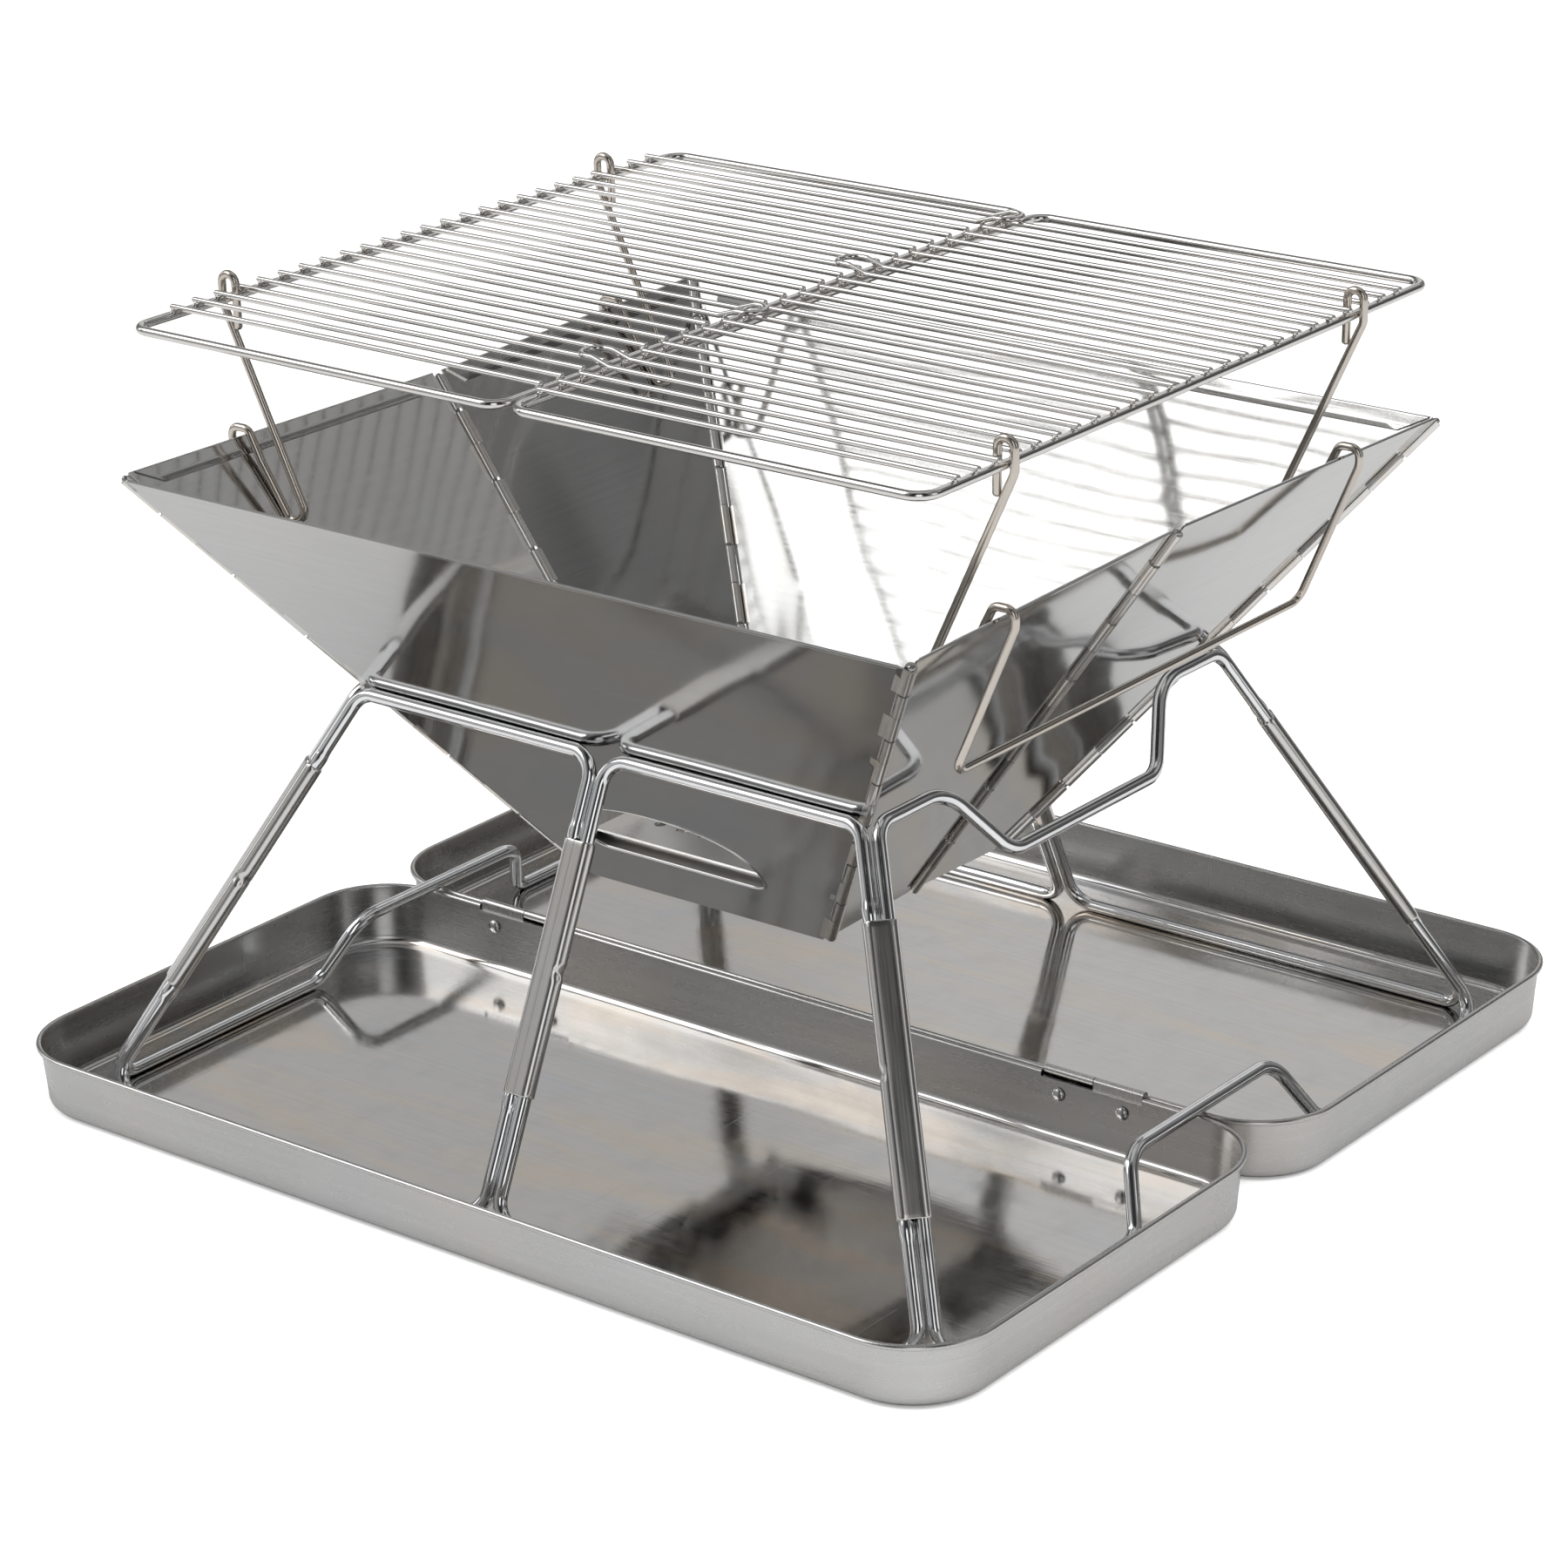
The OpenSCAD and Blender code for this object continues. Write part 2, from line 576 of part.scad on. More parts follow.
// First bar of each pair that is joined into a loop over the other grate
function loop_starts(side) = side > 0 ? [3, 16] : [9, 23];
function loop_half(side, y) = [
    [side * bar_end, y, bar_z], [side * 6, y, bar_z],
    [-side * 3, y, bar_z + loop_rise], [-side * 12, y, bar_z + loop_rise]];

module grate_frame(side)
    wire([[side * rail_inner, -grate_y, grate_z], [side * grate_x, -grate_y, grate_z],
          [side * grate_x, grate_y, grate_z], [side * rail_inner, grate_y, grate_z]],
         rail_r, [rail_bend, rail_bend, rail_bend, rail_bend], closed = true);
module grate_bars(side) {
    starts = loop_starts(side);
    for (i = [0:bars - 1])
        if (i != starts[0] && i != starts[0] + 1 && i != starts[1] && i != starts[1] + 1)
            along([side * bar_end, bar_y(side, i), bar_z], [-side, 0, 0])
                cylinder(r = bar_r, h = bar_end - bar_inner);
    for (i = starts)
        wire(concat(loop_half(side, bar_y(side, i)),
                    reversed(loop_half(side, bar_y(side, i + 1)))),
             bar_r, concat(loop_bends, reversed(loop_bends)));
}
module grate_left_frame() color(chrome) grate_frame(-1);
module grate_left_bars() color(chrome) grate_bars(-1);
module grate_right_frame() color(chrome) grate_frame(1);
module grate_right_bars() color(chrome) grate_bars(1);

front_tray();
rear_tray();
tray_hinge_front_leaves();
tray_hinge_rear_leaves();
tray_hinge_pins();
front_tray_rivets();
rear_tray_rivets();
stand_front_left_loop();
stand_front_right_loop();
stand_right_loop();
stand_rear_right_loop();
stand_rear_left_loop();
stand_left_loop();
sleeve_front_left();
sleeve_front_middle();
sleeve_front_right();
sleeve_rear_right();
sleeve_rear_middle();
sleeve_rear_left();
firebox_front_wall();
firebox_rear_wall();
firebox_right_front_panel();
firebox_right_rear_panel();
firebox_left_front_panel();
firebox_left_rear_panel();
firebox_front_pins();
firebox_rear_pins();
firebox_right_pin();
firebox_left_pin();
charcoal_plate();
bracket_right();
bracket_left();
grate_left_frame();
grate_left_bars();
grate_right_frame();
grate_right_bars();
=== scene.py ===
"""Folding wire-stand grill: two hinged trays, a flared firebox, a wire stand, two grates.

The trays lie on z = 0 and meet at y = 0. +X is right, -Y is front, +Z is up.
Sizes are in mm unless noted; Piece.build turns them into metres.
"""
import json
import math

import bpy
import bmesh
import numpy as np
from mathutils import Matrix, Vector
from mathutils.geometry import delaunay_2d_cdt


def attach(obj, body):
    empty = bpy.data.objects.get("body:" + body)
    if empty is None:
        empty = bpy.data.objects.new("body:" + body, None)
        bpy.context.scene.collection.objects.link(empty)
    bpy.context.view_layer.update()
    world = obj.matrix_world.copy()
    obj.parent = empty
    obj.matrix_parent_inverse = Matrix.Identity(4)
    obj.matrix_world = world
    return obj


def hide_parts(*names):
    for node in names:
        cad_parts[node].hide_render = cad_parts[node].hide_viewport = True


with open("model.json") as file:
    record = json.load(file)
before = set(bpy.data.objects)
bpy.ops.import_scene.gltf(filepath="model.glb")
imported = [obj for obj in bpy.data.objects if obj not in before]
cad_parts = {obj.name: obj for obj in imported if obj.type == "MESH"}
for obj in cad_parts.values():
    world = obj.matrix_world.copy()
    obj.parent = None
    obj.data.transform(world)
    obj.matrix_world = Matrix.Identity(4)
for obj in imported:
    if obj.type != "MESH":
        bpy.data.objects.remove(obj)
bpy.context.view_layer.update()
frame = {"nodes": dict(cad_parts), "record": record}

BODY = {n: body for body, nodes in frame["record"]["behaviour"]["bodies"].items() for n in nodes}
SLOT = {s["node"]: s["material_slot"] for s in frame["record"]["subparts"]}

# ------------------------------------------------------------------ driving sizes
TRAY_W, TRAY_D, TRAY_H = 500.0, 239.6, 29.0
TRAY_R = 38.0              # plan radius of the tray corners
TRAY_T = 0.8               # sheet thickness
HINGE_X = 157.0            # tray hinges, either side of x = 0
BOX_X, BOX_Y = 203.5, 187.5         # half sizes of the firebox at its top
BOX_TOP, BOX_BOTTOM = 279.3, 93.4
APEX_Z = 6.0               # the firebox edges all point at (0, 0, APEX_Z)
MID_INSET = 7.0            # inward fold of the side hinges at the top
BOX_T = 0.8
KNUCKLE_R = 2.5
KNUCKLES = 13              # per hinge, counting both panels
STAND_D = 6.0
STAND_TOP = 180.0
STAND_SPREAD = 1.64        # foot half size over top half size
LEG_PAIR = 6.5             # centre distance of two wires held in a sleeve
SLEEVE_Z0, SLEEVE_Z1 = 51.0, 148.0
GRATE_Z, GRATE_X, GRATE_Y = 340.0, 202.0, 177.0     # rail height and half sizes
RAIL_D, BAR_D = 4.0, 2.5
BARS, BAR_PITCH = 25, 12.9          # bars per grate
BRACKET_D, BRACKET_Y = 3.6, 122.55


# ------------------------------------------------------------------ vectors and ripples
def vec(*xyz):
    return np.array(xyz, float)


def unit(vector):
    vector = np.asarray(vector, float)
    return vector / np.linalg.norm(vector)


X_AXIS, Y_AXIS, Z_AXIS = vec(1, 0, 0), vec(0, 1, 0), vec(0, 0, 1)


def waves(seed, wavelength):
    """Smooth, repeatable 2-D ripple of about unit height."""
    rng = np.random.default_rng(seed)
    count = 7
    heading = rng.uniform(0, 2 * math.pi, count)
    number = 2 * math.pi / (wavelength * rng.uniform(0.7, 1.6, count))
    phase = rng.uniform(0, 2 * math.pi, count)
    number_x, number_y = number * np.cos(heading), number * np.sin(heading)

    def height(x, y):
        x, y = np.asarray(x, float), np.asarray(y, float)
        total = 0
        for nx, ny, shift in zip(number_x, number_y, phase):
            total = total + np.sin(nx * x + ny * y + shift)
        return total / math.sqrt(count)
    return height


# ------------------------------------------------------------------ mesh building
class Piece:
    """Gathers parts in mm, with a "wrap" coordinate per point that the materials follow."""

    def __init__(self):
        self.verts, self.wrap, self.faces, self.count = [], [], [], 0

    def add(self, verts, faces, wrap=None):
        """Without a wrap of its own a part shares its vertex array as wrap."""
        verts = np.asarray(verts, float).reshape(-1, 3)
        self.verts.append(verts)
        self.wrap.append(verts if wrap is None else np.asarray(wrap, float).reshape(-1, 3))
        self.faces += [tuple(int(i) + self.count for i in face) for face in faces]
        self.count += len(verts)

    def mirror_y(self):
        for part in self.verts:
            part[:, 1] *= -1

    def build(self, name, node, material, angle=32):
        """Make the object; edges folded less than angle (degrees) are smooth."""
        mesh = bpy.data.meshes.new(name)
        mesh.from_pydata((np.vstack(self.verts) * 0.001).tolist(), [], self.faces)
        mesh.validate(clean_customdata=False)
        attribute = mesh.attributes.new("wrap", "FLOAT_VECTOR", "POINT")
        wrap = (np.vstack(self.wrap) * 0.001).astype(np.float32)
        attribute.data.foreach_set("vector", wrap.ravel())
        bm = bmesh.new()
        bm.from_mesh(mesh)
        bmesh.ops.recalc_face_normals(bm, faces=bm.faces)
        limit = math.radians(angle)
        for edge in bm.edges:
            edge.smooth = len(edge.link_faces) == 2 and edge.calc_face_angle(0) < limit
        for face in bm.faces:
            face.smooth = True
        bm.to_mesh(mesh)
        bm.free()
        obj = bpy.data.objects.new(name, mesh)
        bpy.context.scene.collection.objects.link(obj)
        mesh.materials.append(material)
        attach(obj, BODY[node])
        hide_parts(node)
        return obj


def skin(rings, size, closed=False):
    """Quads between successive rings of size points; closed joins the last to the first."""
    quads = []
    for i in range(rings if closed else rings - 1):
        near, far = i * size, (i + 1) % rings * size
        for j in range(size):
            k = (j + 1) % size
            quads.append((near + j, near + k, far + k, far + j))
    return quads


def end_caps(rings, size):
    return [tuple(range(size - 1, -1, -1)), tuple((rings - 1) * size + j for j in range(size))]


def wire_path(points, bends, closed=False, step=6.0):
    """Round each corner with its bend radius, in arcs of about step degrees."""
    points = [np.asarray(p, float) for p in points]
    count = len(points)
    path = []
    for i, point in enumerate(points):
        if not closed and i in (0, count - 1):
            path.append(point)
            continue
        arrive = unit(point - points[i - 1])
        leave = unit(points[(i + 1) % count] - point)
        turn = math.acos(float(np.clip(arrive @ leave, -1, 1)))
        if turn < 1e-3:
            path.append(point)
            continue
        radius = bends[i]
        start = point - arrive * radius * math.tan(turn / 2)
        centre = point + unit(leave - arrive) * radius / math.cos(turn / 2)
        spoke = unit(start - centre)
        arcs = max(4, int(math.ceil(math.degrees(turn) / step)))
        for j in range(arcs + 1):
            t = turn * j / arcs
            path.append(centre + radius * (math.cos(t) * spoke + math.sin(t) * arrive))
    return np.array(path)


def refine(path, longest, closed=False):
    """Divide the path so that no step exceeds longest."""
    points = []
    count = len(path)
    for i in range(count if closed else count - 1):
        a, b = path[i], path[(i + 1) % count]
        parts = max(1, int(math.ceil(np.linalg.norm(b - a) / longest)))
        for j in range(parts):
            points.append(a + (b - a) * j / parts)
    if not closed:
        points.append(path[-1])
    return np.array(points)


DOME_ANGLES = [math.radians(a) for a in (16, 38, 62, 84)]


def tube(path, radius, sides, closed=False, dome=0.55):
    """Tube along path. radius is one number or one per point; open ends get a dome
    that is dome * radius deep."""
    path = np.asarray(path, float)
    count = len(path)
    radii = np.full(count, float(radius)) if np.isscalar(radius) else np.asarray(radius, float)
    if closed:
        ahead = np.array([unit(path[(i + 1) % count] - path[i - 1]) for i in range(count)])
    else:
        ahead = np.array([unit(path[min(i + 1, count - 1)] - path[max(i - 1, 0)])
                          for i in range(count)])
    # carry one side direction along the path without spinning it
    aside = [unit(np.cross(ahead[0], Z_AXIS if abs(ahead[0][2]) < 0.9 else X_AXIS))]
    for i in range(1, count):
        aside.append(unit(aside[-1] - ahead[i] * (aside[-1] @ ahead[i])))
    aside = np.array(aside)
    if closed:
        # share out the twist left over after one lap
        last = unit(aside[-1] - ahead[0] * (aside[-1] @ ahead[0]))
        twist = math.atan2(np.cross(aside[0], last) @ ahead[0], aside[0] @ last)
        for i in range(count):
            t = -twist * i / count
            aside[i] = aside[i] * math.cos(t) + np.cross(ahead[i], aside[i]) * math.sin(t)
    steps = np.linalg.norm(np.diff(path, axis=0), axis=1)
    length = np.concatenate([[0], np.cumsum(steps)])
    rows = [(path[i], ahead[i], aside[i], radii[i], length[i]) for i in range(count)]
    if not closed:
        def end_row(i, inward, t):
            depth = radii[i] * dome * (1 - math.sin(t))
            return (path[i] + inward * ahead[i] * depth, ahead[i], aside[i],
                    radii[i] * math.cos(t), length[i])
        rows = ([end_row(0, 1, t) for t in DOME_ANGLES[::-1]] + [end_row(0, 1, 0)]
                + rows[1:-1] + [end_row(-1, -1, 0)] + [end_row(-1, -1, t) for t in DOME_ANGLES])
    verts, wrap = [], []
    for point, forward, side, r, along in rows:
        other = np.cross(forward, side)
        for j in range(sides):
            t = 2 * math.pi * j / sides
            verts.append(point + side * r * math.cos(t) + other * r * math.sin(t))
            wrap.append((along, r * math.cos(t), r * math.sin(t)))
    faces = skin(len(rows), sides, closed)
    if not closed:
        faces += end_caps(len(rows), sides)
    return verts, faces, wrap


def extrude(outline, origin, ex, ey, ez, height):
    """Closed prism of an outline in the (ex, ey) plane."""
    count = len(outline)
    verts = [origin + ex * x + ey * y + ez * z for z in (0, height) for x, y in outline]
    return verts, end_caps(2, count) + skin(2, count)


def rolled(origin, ex, ey, ez, length, mid, thickness, outer_r, inner_r, reach):
    """Barrel rolled from a sheet whose middle lies at height mid; it leaves along +ex."""
    sweep, arcs = 308, 30
    outer_start = math.asin(max(-1, min(1, (mid + thickness / 2) / outer_r)))
    curl_end = outer_start + math.radians(sweep)
    inner_start = math.asin(max(-1, min(1, (mid - thickness / 2) / inner_r)))
    outline = [(reach, mid + thickness / 2)]
    for r, start, end in ((outer_r, outer_start, curl_end), (inner_r, curl_end, inner_start)):
        for i in range(arcs + 1):
            a = start + (end - start) * i / arcs
            outline.append((r * math.cos(a), r * math.sin(a)))
    outline.append((reach, mid - thickness / 2))
    return extrude(outline, origin, ex, ey, ez, length)


def nugget(centre, half_sizes, around=12, rows=7):
    """Small flattened ball of weld metal."""
    hx, hy, hz = half_sizes
    verts = []
    for i in range(1, rows):
        t = math.pi * i / rows
        for j in range(around):
            p = 2 * math.pi * j / around
            verts.append(centre + vec(hx * math.sin(t) * math.cos(p),
                                      hy * math.sin(t) * math.sin(p), hz * math.cos(t)))
    top, bottom = len(verts), len(verts) + 1
    verts += [centre + Z_AXIS * hz, centre - Z_AXIS * hz]
    faces = skin(rows - 1, around)
    low = (rows - 2) * around
    for j in range(around):
        k = (j + 1) % around
        faces.append((top, k, j))
        faces.append((bottom, low + j, low + k))
    return verts, faces


# ------------------------------------------------------------------ materials
class Graph:
    """Short calls for building a shader tree from empty."""

    def __init__(self, tree):
        self.tree = tree
        tree.nodes.clear()

    def new(self, kind, inputs=None, **settings):
        node = self.tree.nodes.new(kind)
        for key, value in settings.items():
            setattr(node, key, value)
        for key, value in (inputs or {}).items():
            self.put(node, key, value)
        return node

    def put(self, node, key, value):
        """Link a socket, or set a plain value."""
        if isinstance(value, bpy.types.NodeSocket):
            self.tree.links.new(value, node.inputs[key])
        else:
            node.inputs[key].default_value = value

    def math(self, operation, a, b=0.0, clamp=False):
        return self.new("ShaderNodeMath", {0: a, 1: b}, operation=operation,
                        use_clamp=clamp).outputs[0]

    def noise(self, vector, scale, detail, rough, distort=0.0):
        inputs = {"Vector": vector, "Scale": scale, "Detail": detail, "Roughness": rough,
                  "Distortion": distort}
        return self.new("ShaderNodeTexNoise", inputs).outputs["Fac"]

    def stretch(self, vector, scale, turn=0.0):
        """Scale a coordinate after turning it about z (radians)."""
        inputs = {"Vector": vector, "Scale": scale, "Rotation": (0, 0, turn)}
        return self.new("ShaderNodeMapping", inputs).outputs[0]

    def ramp(self, fac, places, greys=(0.0, 1.0)):
        """Eased grey ramp between two places."""
        node = self.new("ShaderNodeValToRGB", {"Fac": fac})
        node.color_ramp.interpolation = "EASE"
        for stop, place, grey in zip(node.color_ramp.elements, places, greys):
            stop.position = place
            stop.color = (grey, grey, grey, 1)
        return node.outputs[0]

    def span(self, value, source, to, **settings):
        """Map the source range onto the to range."""
        inputs = {"Value": value, "From Min": source[0], "From Max": source[1],
                  "To Min": to[0], "To Max": to[1]}
        return self.new("ShaderNodeMapRange", inputs, **settings).outputs[0]

    def mix(self, fac, a, b, blend="MIX"):
        """Mix two colours, each a socket or an (r, g, b) tuple."""
        a, b = ((*c, 1) if isinstance(c, tuple) else c for c in (a, b))
        return self.new("ShaderNodeMix", {0: fac, 6: a, 7: b}, data_type="RGBA",
                        blend_type=blend).outputs[2]


WARM_TINT, COOL_TINT = (0.75, 0.60, 0.44), (0.50, 0.55, 0.66)
# turn about z (radians), stretch, noise level above which a scratch shows
SCRATCHES = (
    (0.35, (9, 900, 900), 0.735),
    (-0.8, (12, 760, 760), 0.745),
    (1.25, (10, 820, 820), 0.75),
)


def shade(color, factor):
    return tuple(c * factor for c in color)


def steel(name, color, rough, grain, grain_bump, scratch, spread=0.05, tint=0.0, tint_scale=9.0,
          tint_pull=(1, 1, 1), speck=0.0, wave_bump=0.0, wave_scale=12.0, smudge=0.25,
          coords="wrap"):
    """Brushed steel.

    rough, spread: roughness and how far the brushing moves it
    grain, grain_bump: stretch and relief of the brushing
    scratch, smudge, speck: strength of scratches, soft marks and fine dull specks
    tint, tint_scale, tint_pull: strength, scale and stretch of the heat tint
    wave_bump, wave_scale: height (metres) and scale of slow ripples
    """
    material = bpy.data.materials.new(name)
    material.use_nodes = True
    g = Graph(material.node_tree)
    output = g.new("ShaderNodeOutputMaterial")
    surface = g.new("ShaderNodeBsdfPrincipled", {"Metallic": 1.0})
    g.put(output, "Surface", surface.outputs[0])
    if coords == "wrap":
        along = g.new("ShaderNodeAttribute", attribute_name="wrap").outputs["Vector"]
    else:
        along = g.new("ShaderNodeTexCoord").outputs["Object"]
    place = g.new("ShaderNodeTexCoord").outputs["Object"]
    brush = g.noise(g.stretch(along, grain), scale=1.0, detail=5.0, rough=0.62)
    fine = g.noise(g.stretch(along, shade(grain, 2.6)), scale=1.0, detail=3.0, rough=0.5)
    marks = g.noise(place, scale=tint_scale * 4.3, detail=4.0, rough=0.6, distort=0.3)

    # colour: brushing tone, then smudges, then heat tint
    tone = g.span(brush, source=(0.3, 0.7), to=(0.0, 1.0))
    base = g.mix(tone, shade(color, 0.955), shade(color, 1.03))
    smudges = g.math("MULTIPLY", g.ramp(marks, places=(0.38, 0.75)), 0.10 * (1 + smudge))
    base = g.mix(smudges, base, shade(color, 0.78))
    if tint > 0:
        heat = g.noise(g.stretch(place, tint_pull), scale=tint_scale, detail=4.0, rough=0.6,
                       distort=0.8)
        warm = g.math("MULTIPLY", g.ramp(heat, places=(0.47, 0.62)), tint)
        cool = g.math("MULTIPLY", g.ramp(heat, places=(0.28, 0.45), greys=(1.0, 0.0)),
                      tint * 0.8)
        base = g.mix(cool, g.mix(warm, base, WARM_TINT), COOL_TINT)
    g.put(surface, "Base Color", base)

    # thin scratches at three angles
    scratches = None
    for turn, pull, level in SCRATCHES:
        lines = g.noise(g.stretch(along, pull, turn), scale=1.0, detail=1.0, rough=0.4)
        lines = g.span(lines, source=(level, level + 0.05), to=(0.0, 1.0))
        scratches = lines if scratches is None else g.math("MAXIMUM", scratches, lines)
    scratches = g.math("MULTIPLY", scratches, scratch)

    # roughness: brushing, smudges, scratches, specks
    dull = g.span(brush, source=(0.25, 0.75), to=(rough - spread, rough + spread))
    dull = g.math("ADD", dull, g.math("MULTIPLY", g.ramp(marks, places=(0.35, 0.8)),
                                      0.10 * smudge))
    dull = g.math("ADD", dull, g.math("MULTIPLY", scratches, 0.16), clamp=True)
    if speck > 0:
        specks = g.noise(place, scale=900.0, detail=2.0, rough=0.6)
        specks = g.span(specks, source=(0.5, 0.85), to=(0.0, speck))
        dull = g.math("ADD", dull, specks, clamp=True)
    g.put(surface, "Roughness", dull)

    # relief: brushing less scratches, then slow ripples
    relief = g.math("ADD", g.math("MULTIPLY", brush, 0.7), g.math("MULTIPLY", fine, 0.3))
    relief = g.math("SUBTRACT", relief, g.math("MULTIPLY", scratches, 0.8))
    normal = g.new("ShaderNodeBump", {"Strength": grain_bump, "Distance": 0.0004,
                                      "Height": relief}).outputs[0]
    if wave_bump > 0:
        ripple = g.noise(place, scale=wave_scale, detail=2.0, rough=0.45, distort=0.4)
        normal = g.new("ShaderNodeBump", {"Strength": 1.0, "Distance": wave_bump,
                                          "Height": ripple, "Normal": normal}).outputs[0]
    g.put(surface, "Normal", normal)
    return material


# keys match the material slots in the record
STEELS = {
    "tray": steel(
        "tray_steel", color=(0.60, 0.595, 0.59), rough=0.26, spread=0.04, grain=(260, 4, 160),
        grain_bump=0.014, tint=0.10, tint_scale=8, scratch=0.2, smudge=0.35,
        wave_bump=0.0007, wave_scale=8),
    "tray_floor": steel(
        "tray_floor_steel", color=(0.61, 0.60, 0.585), rough=0.07, spread=0.02,
        grain=(480, 8, 480), grain_bump=0.045, tint=0.34, tint_scale=14, scratch=0.5,
        smudge=0.6, wave_bump=0.0005, wave_scale=8, tint_pull=(0.35, 1.6, 1)),
    "stand_wire": steel(
        "chrome_wire", color=(0.88, 0.885, 0.895), rough=0.08, spread=0.02,
        grain=(60, 900, 900), grain_bump=0.02, scratch=0.3, wave_bump=0.0005, wave_scale=34),
    "sleeve": steel(
        "sleeve_steel", color=(0.72, 0.71, 0.695), rough=0.20, grain=(14, 900, 900),
        grain_bump=0.05, tint=0.10, tint_scale=22, scratch=0.4),
    "firebox": steel(
        "mirror_sheet", color=(0.60, 0.60, 0.595), rough=0.07, spread=0.015,
        grain=(20, 500, 500), grain_bump=0.010, tint=0.05, tint_scale=6, scratch=0.25,
        speck=0.03, wave_bump=0.0004, wave_scale=7),
    "knuckle": steel(
        "rolled_edge_steel", color=(0.84, 0.825, 0.80), rough=0.22, spread=0.04,
        grain=(30, 700, 700), grain_bump=0.04, tint=0.22, tint_scale=30, scratch=0.3),
    "plate": steel(
        "plate_steel", color=(0.80, 0.79, 0.78), rough=0.20, grain=(20, 400, 400),
        grain_bump=0.05, tint=0.12, tint_scale=14, scratch=0.4, coords="object"),
    "bracket": steel(
        "nickel_wire", color=(0.66, 0.61, 0.555), rough=0.2, spread=0.06,
        grain=(25, 900, 900), grain_bump=0.07, tint=0.12, tint_scale=24, scratch=0.3),
    "grate": steel(
        "grate_wire", color=(0.78, 0.765, 0.745), rough=0.11, spread=0.04,
        grain=(30, 900, 900), grain_bump=0.04, tint=0.06, tint_scale=26, scratch=0.25),
    "rivet": steel(
        "rivet_steel", color=(0.72, 0.72, 0.72), rough=0.22, grain=(200, 200, 200),
        grain_bump=0.03, scratch=0.2, coords="object"),
    # pin colour darker than the other steels: painted shade for the gaps between the knuckles,
    # where the pin shows
    "pin": steel(
        "pin_steel_painted_gap_shade", color=(0.42, 0.41, 0.40), rough=0.2, spread=0.04, grain=(60, 500, 500),
        grain_bump=0.03, scratch=0.2),
}

# ------------------------------------------------------------------ trays
BEAD_R = 1.3               # rolled rim
JOINT = 0.4                # rim to y = 0
DRAFT = 2.0                # outward lean of the wall over its height
FILLET = 5.0               # wall to floor, outside
OUTER_WALL_TOP, INNER_WALL_TOP = 26.5, 26.9
NOTCH_Z = 26.35            # rim cut down to here at the hinges
NOTCH_HALF = 25.6
WALL_STEPS = (0.12, 0.25, 0.4, 0.55, 0.7, 0.85, 0.95)
FLOOR_RINGS = 22
FLOOR_CROWN = 0.16         # mean rise of the inner floor
FLOOR_WAVE, FLOOR_WAVE_FINE, FLOOR_WAVE_SCALE = 0.30, 0.06, 0.55
WALL_R = TRAY_R - 2 * BEAD_R + 0.6
FLOOR_R = WALL_R - DRAFT - FILLET
CORNER_X = TRAY_W / 2 - TRAY_R
CORNER_Y = (TRAY_D - 2 * TRAY_R) / 2
TRAY_CENTRE_Y = -JOINT - TRAY_D / 2


def wall_lean(z):
    return DRAFT * (z - FILLET) / (TRAY_H - 1 - FILLET)


def tray_profile():
    """Section (r outward from the corner centre, z): up the outside, over the rim, down
    the inside."""
    points = []

    def fillet_arc(angles, foot_r, radius, bottom):
        for a in angles:
            a = math.radians(a)
            points.append((foot_r - radius + radius * math.sin(a),
                           bottom + radius - radius * math.cos(a)))

    def wall(steps, top, foot_r):
        for t in steps:
            z = FILLET + (top - FILLET) * t
            points.append((foot_r + wall_lean(z), z))

    outer_r, inner_r = WALL_R - DRAFT, WALL_R - DRAFT - TRAY_T
    fillet_arc(range(0, 91, 10), outer_r, FILLET, 0)
    wall(WALL_STEPS + (1.0,), OUTER_WALL_TOP, outer_r)
    for a in range(-100, 181, 20):
        a = math.radians(a)
        points.append((WALL_R + 0.5 + BEAD_R * math.cos(a),
                       TRAY_H - BEAD_R + BEAD_R * math.sin(a)))
    wall(WALL_STEPS[::-1] + (0.0,), INNER_WALL_TOP, inner_r)
    fillet_arc(range(80, -1, -10), inner_r, FILLET - TRAY_T, TRAY_T)
    return np.array(points)


def tray_columns():
    """(corner centre x, y, outward angle, notched) anticlockwise round the rim."""
    columns = []

    def arc(cx, cy, start):
        for a in range(0, 91, 6):
            columns.append((cx, cy, math.radians(start + a), False))

    arc(CORNER_X, CORNER_Y, 0)
    stops = [CORNER_X] + [side * HINGE_X + way * NOTCH_HALF for side in (1, -1)
                          for way in (1, -1)] + [-CORNER_X]
    for i, (a, b) in enumerate(zip(stops, stops[1:])):
        parts = max(1, int(abs(b - a) / 11))
        for j in range(parts + 1):
            if (i, j) in ((0, 0), (4, parts)):
                continue        # already in the corner arcs
            columns.append((a + (b - a) * j / parts, CORNER_Y, math.pi / 2, i in (1, 3)))
    arc(-CORNER_X, CORNER_Y, 90)
    for j in range(1, 14):
        columns.append((-CORNER_X, CORNER_Y - 2 * CORNER_Y * j / 14, math.pi, False))
    arc(-CORNER_X, -CORNER_Y, 180)
    for j in range(1, 38):
        columns.append((-CORNER_X + 2 * CORNER_X * j / 38, -CORNER_Y, 1.5 * math.pi, False))
    arc(CORNER_X, -CORNER_Y, 270)
    for j in range(1, 14):
        columns.append((CORNER_X, -CORNER_Y + 2 * CORNER_Y * j / 14, 2 * math.pi, False))
    return columns


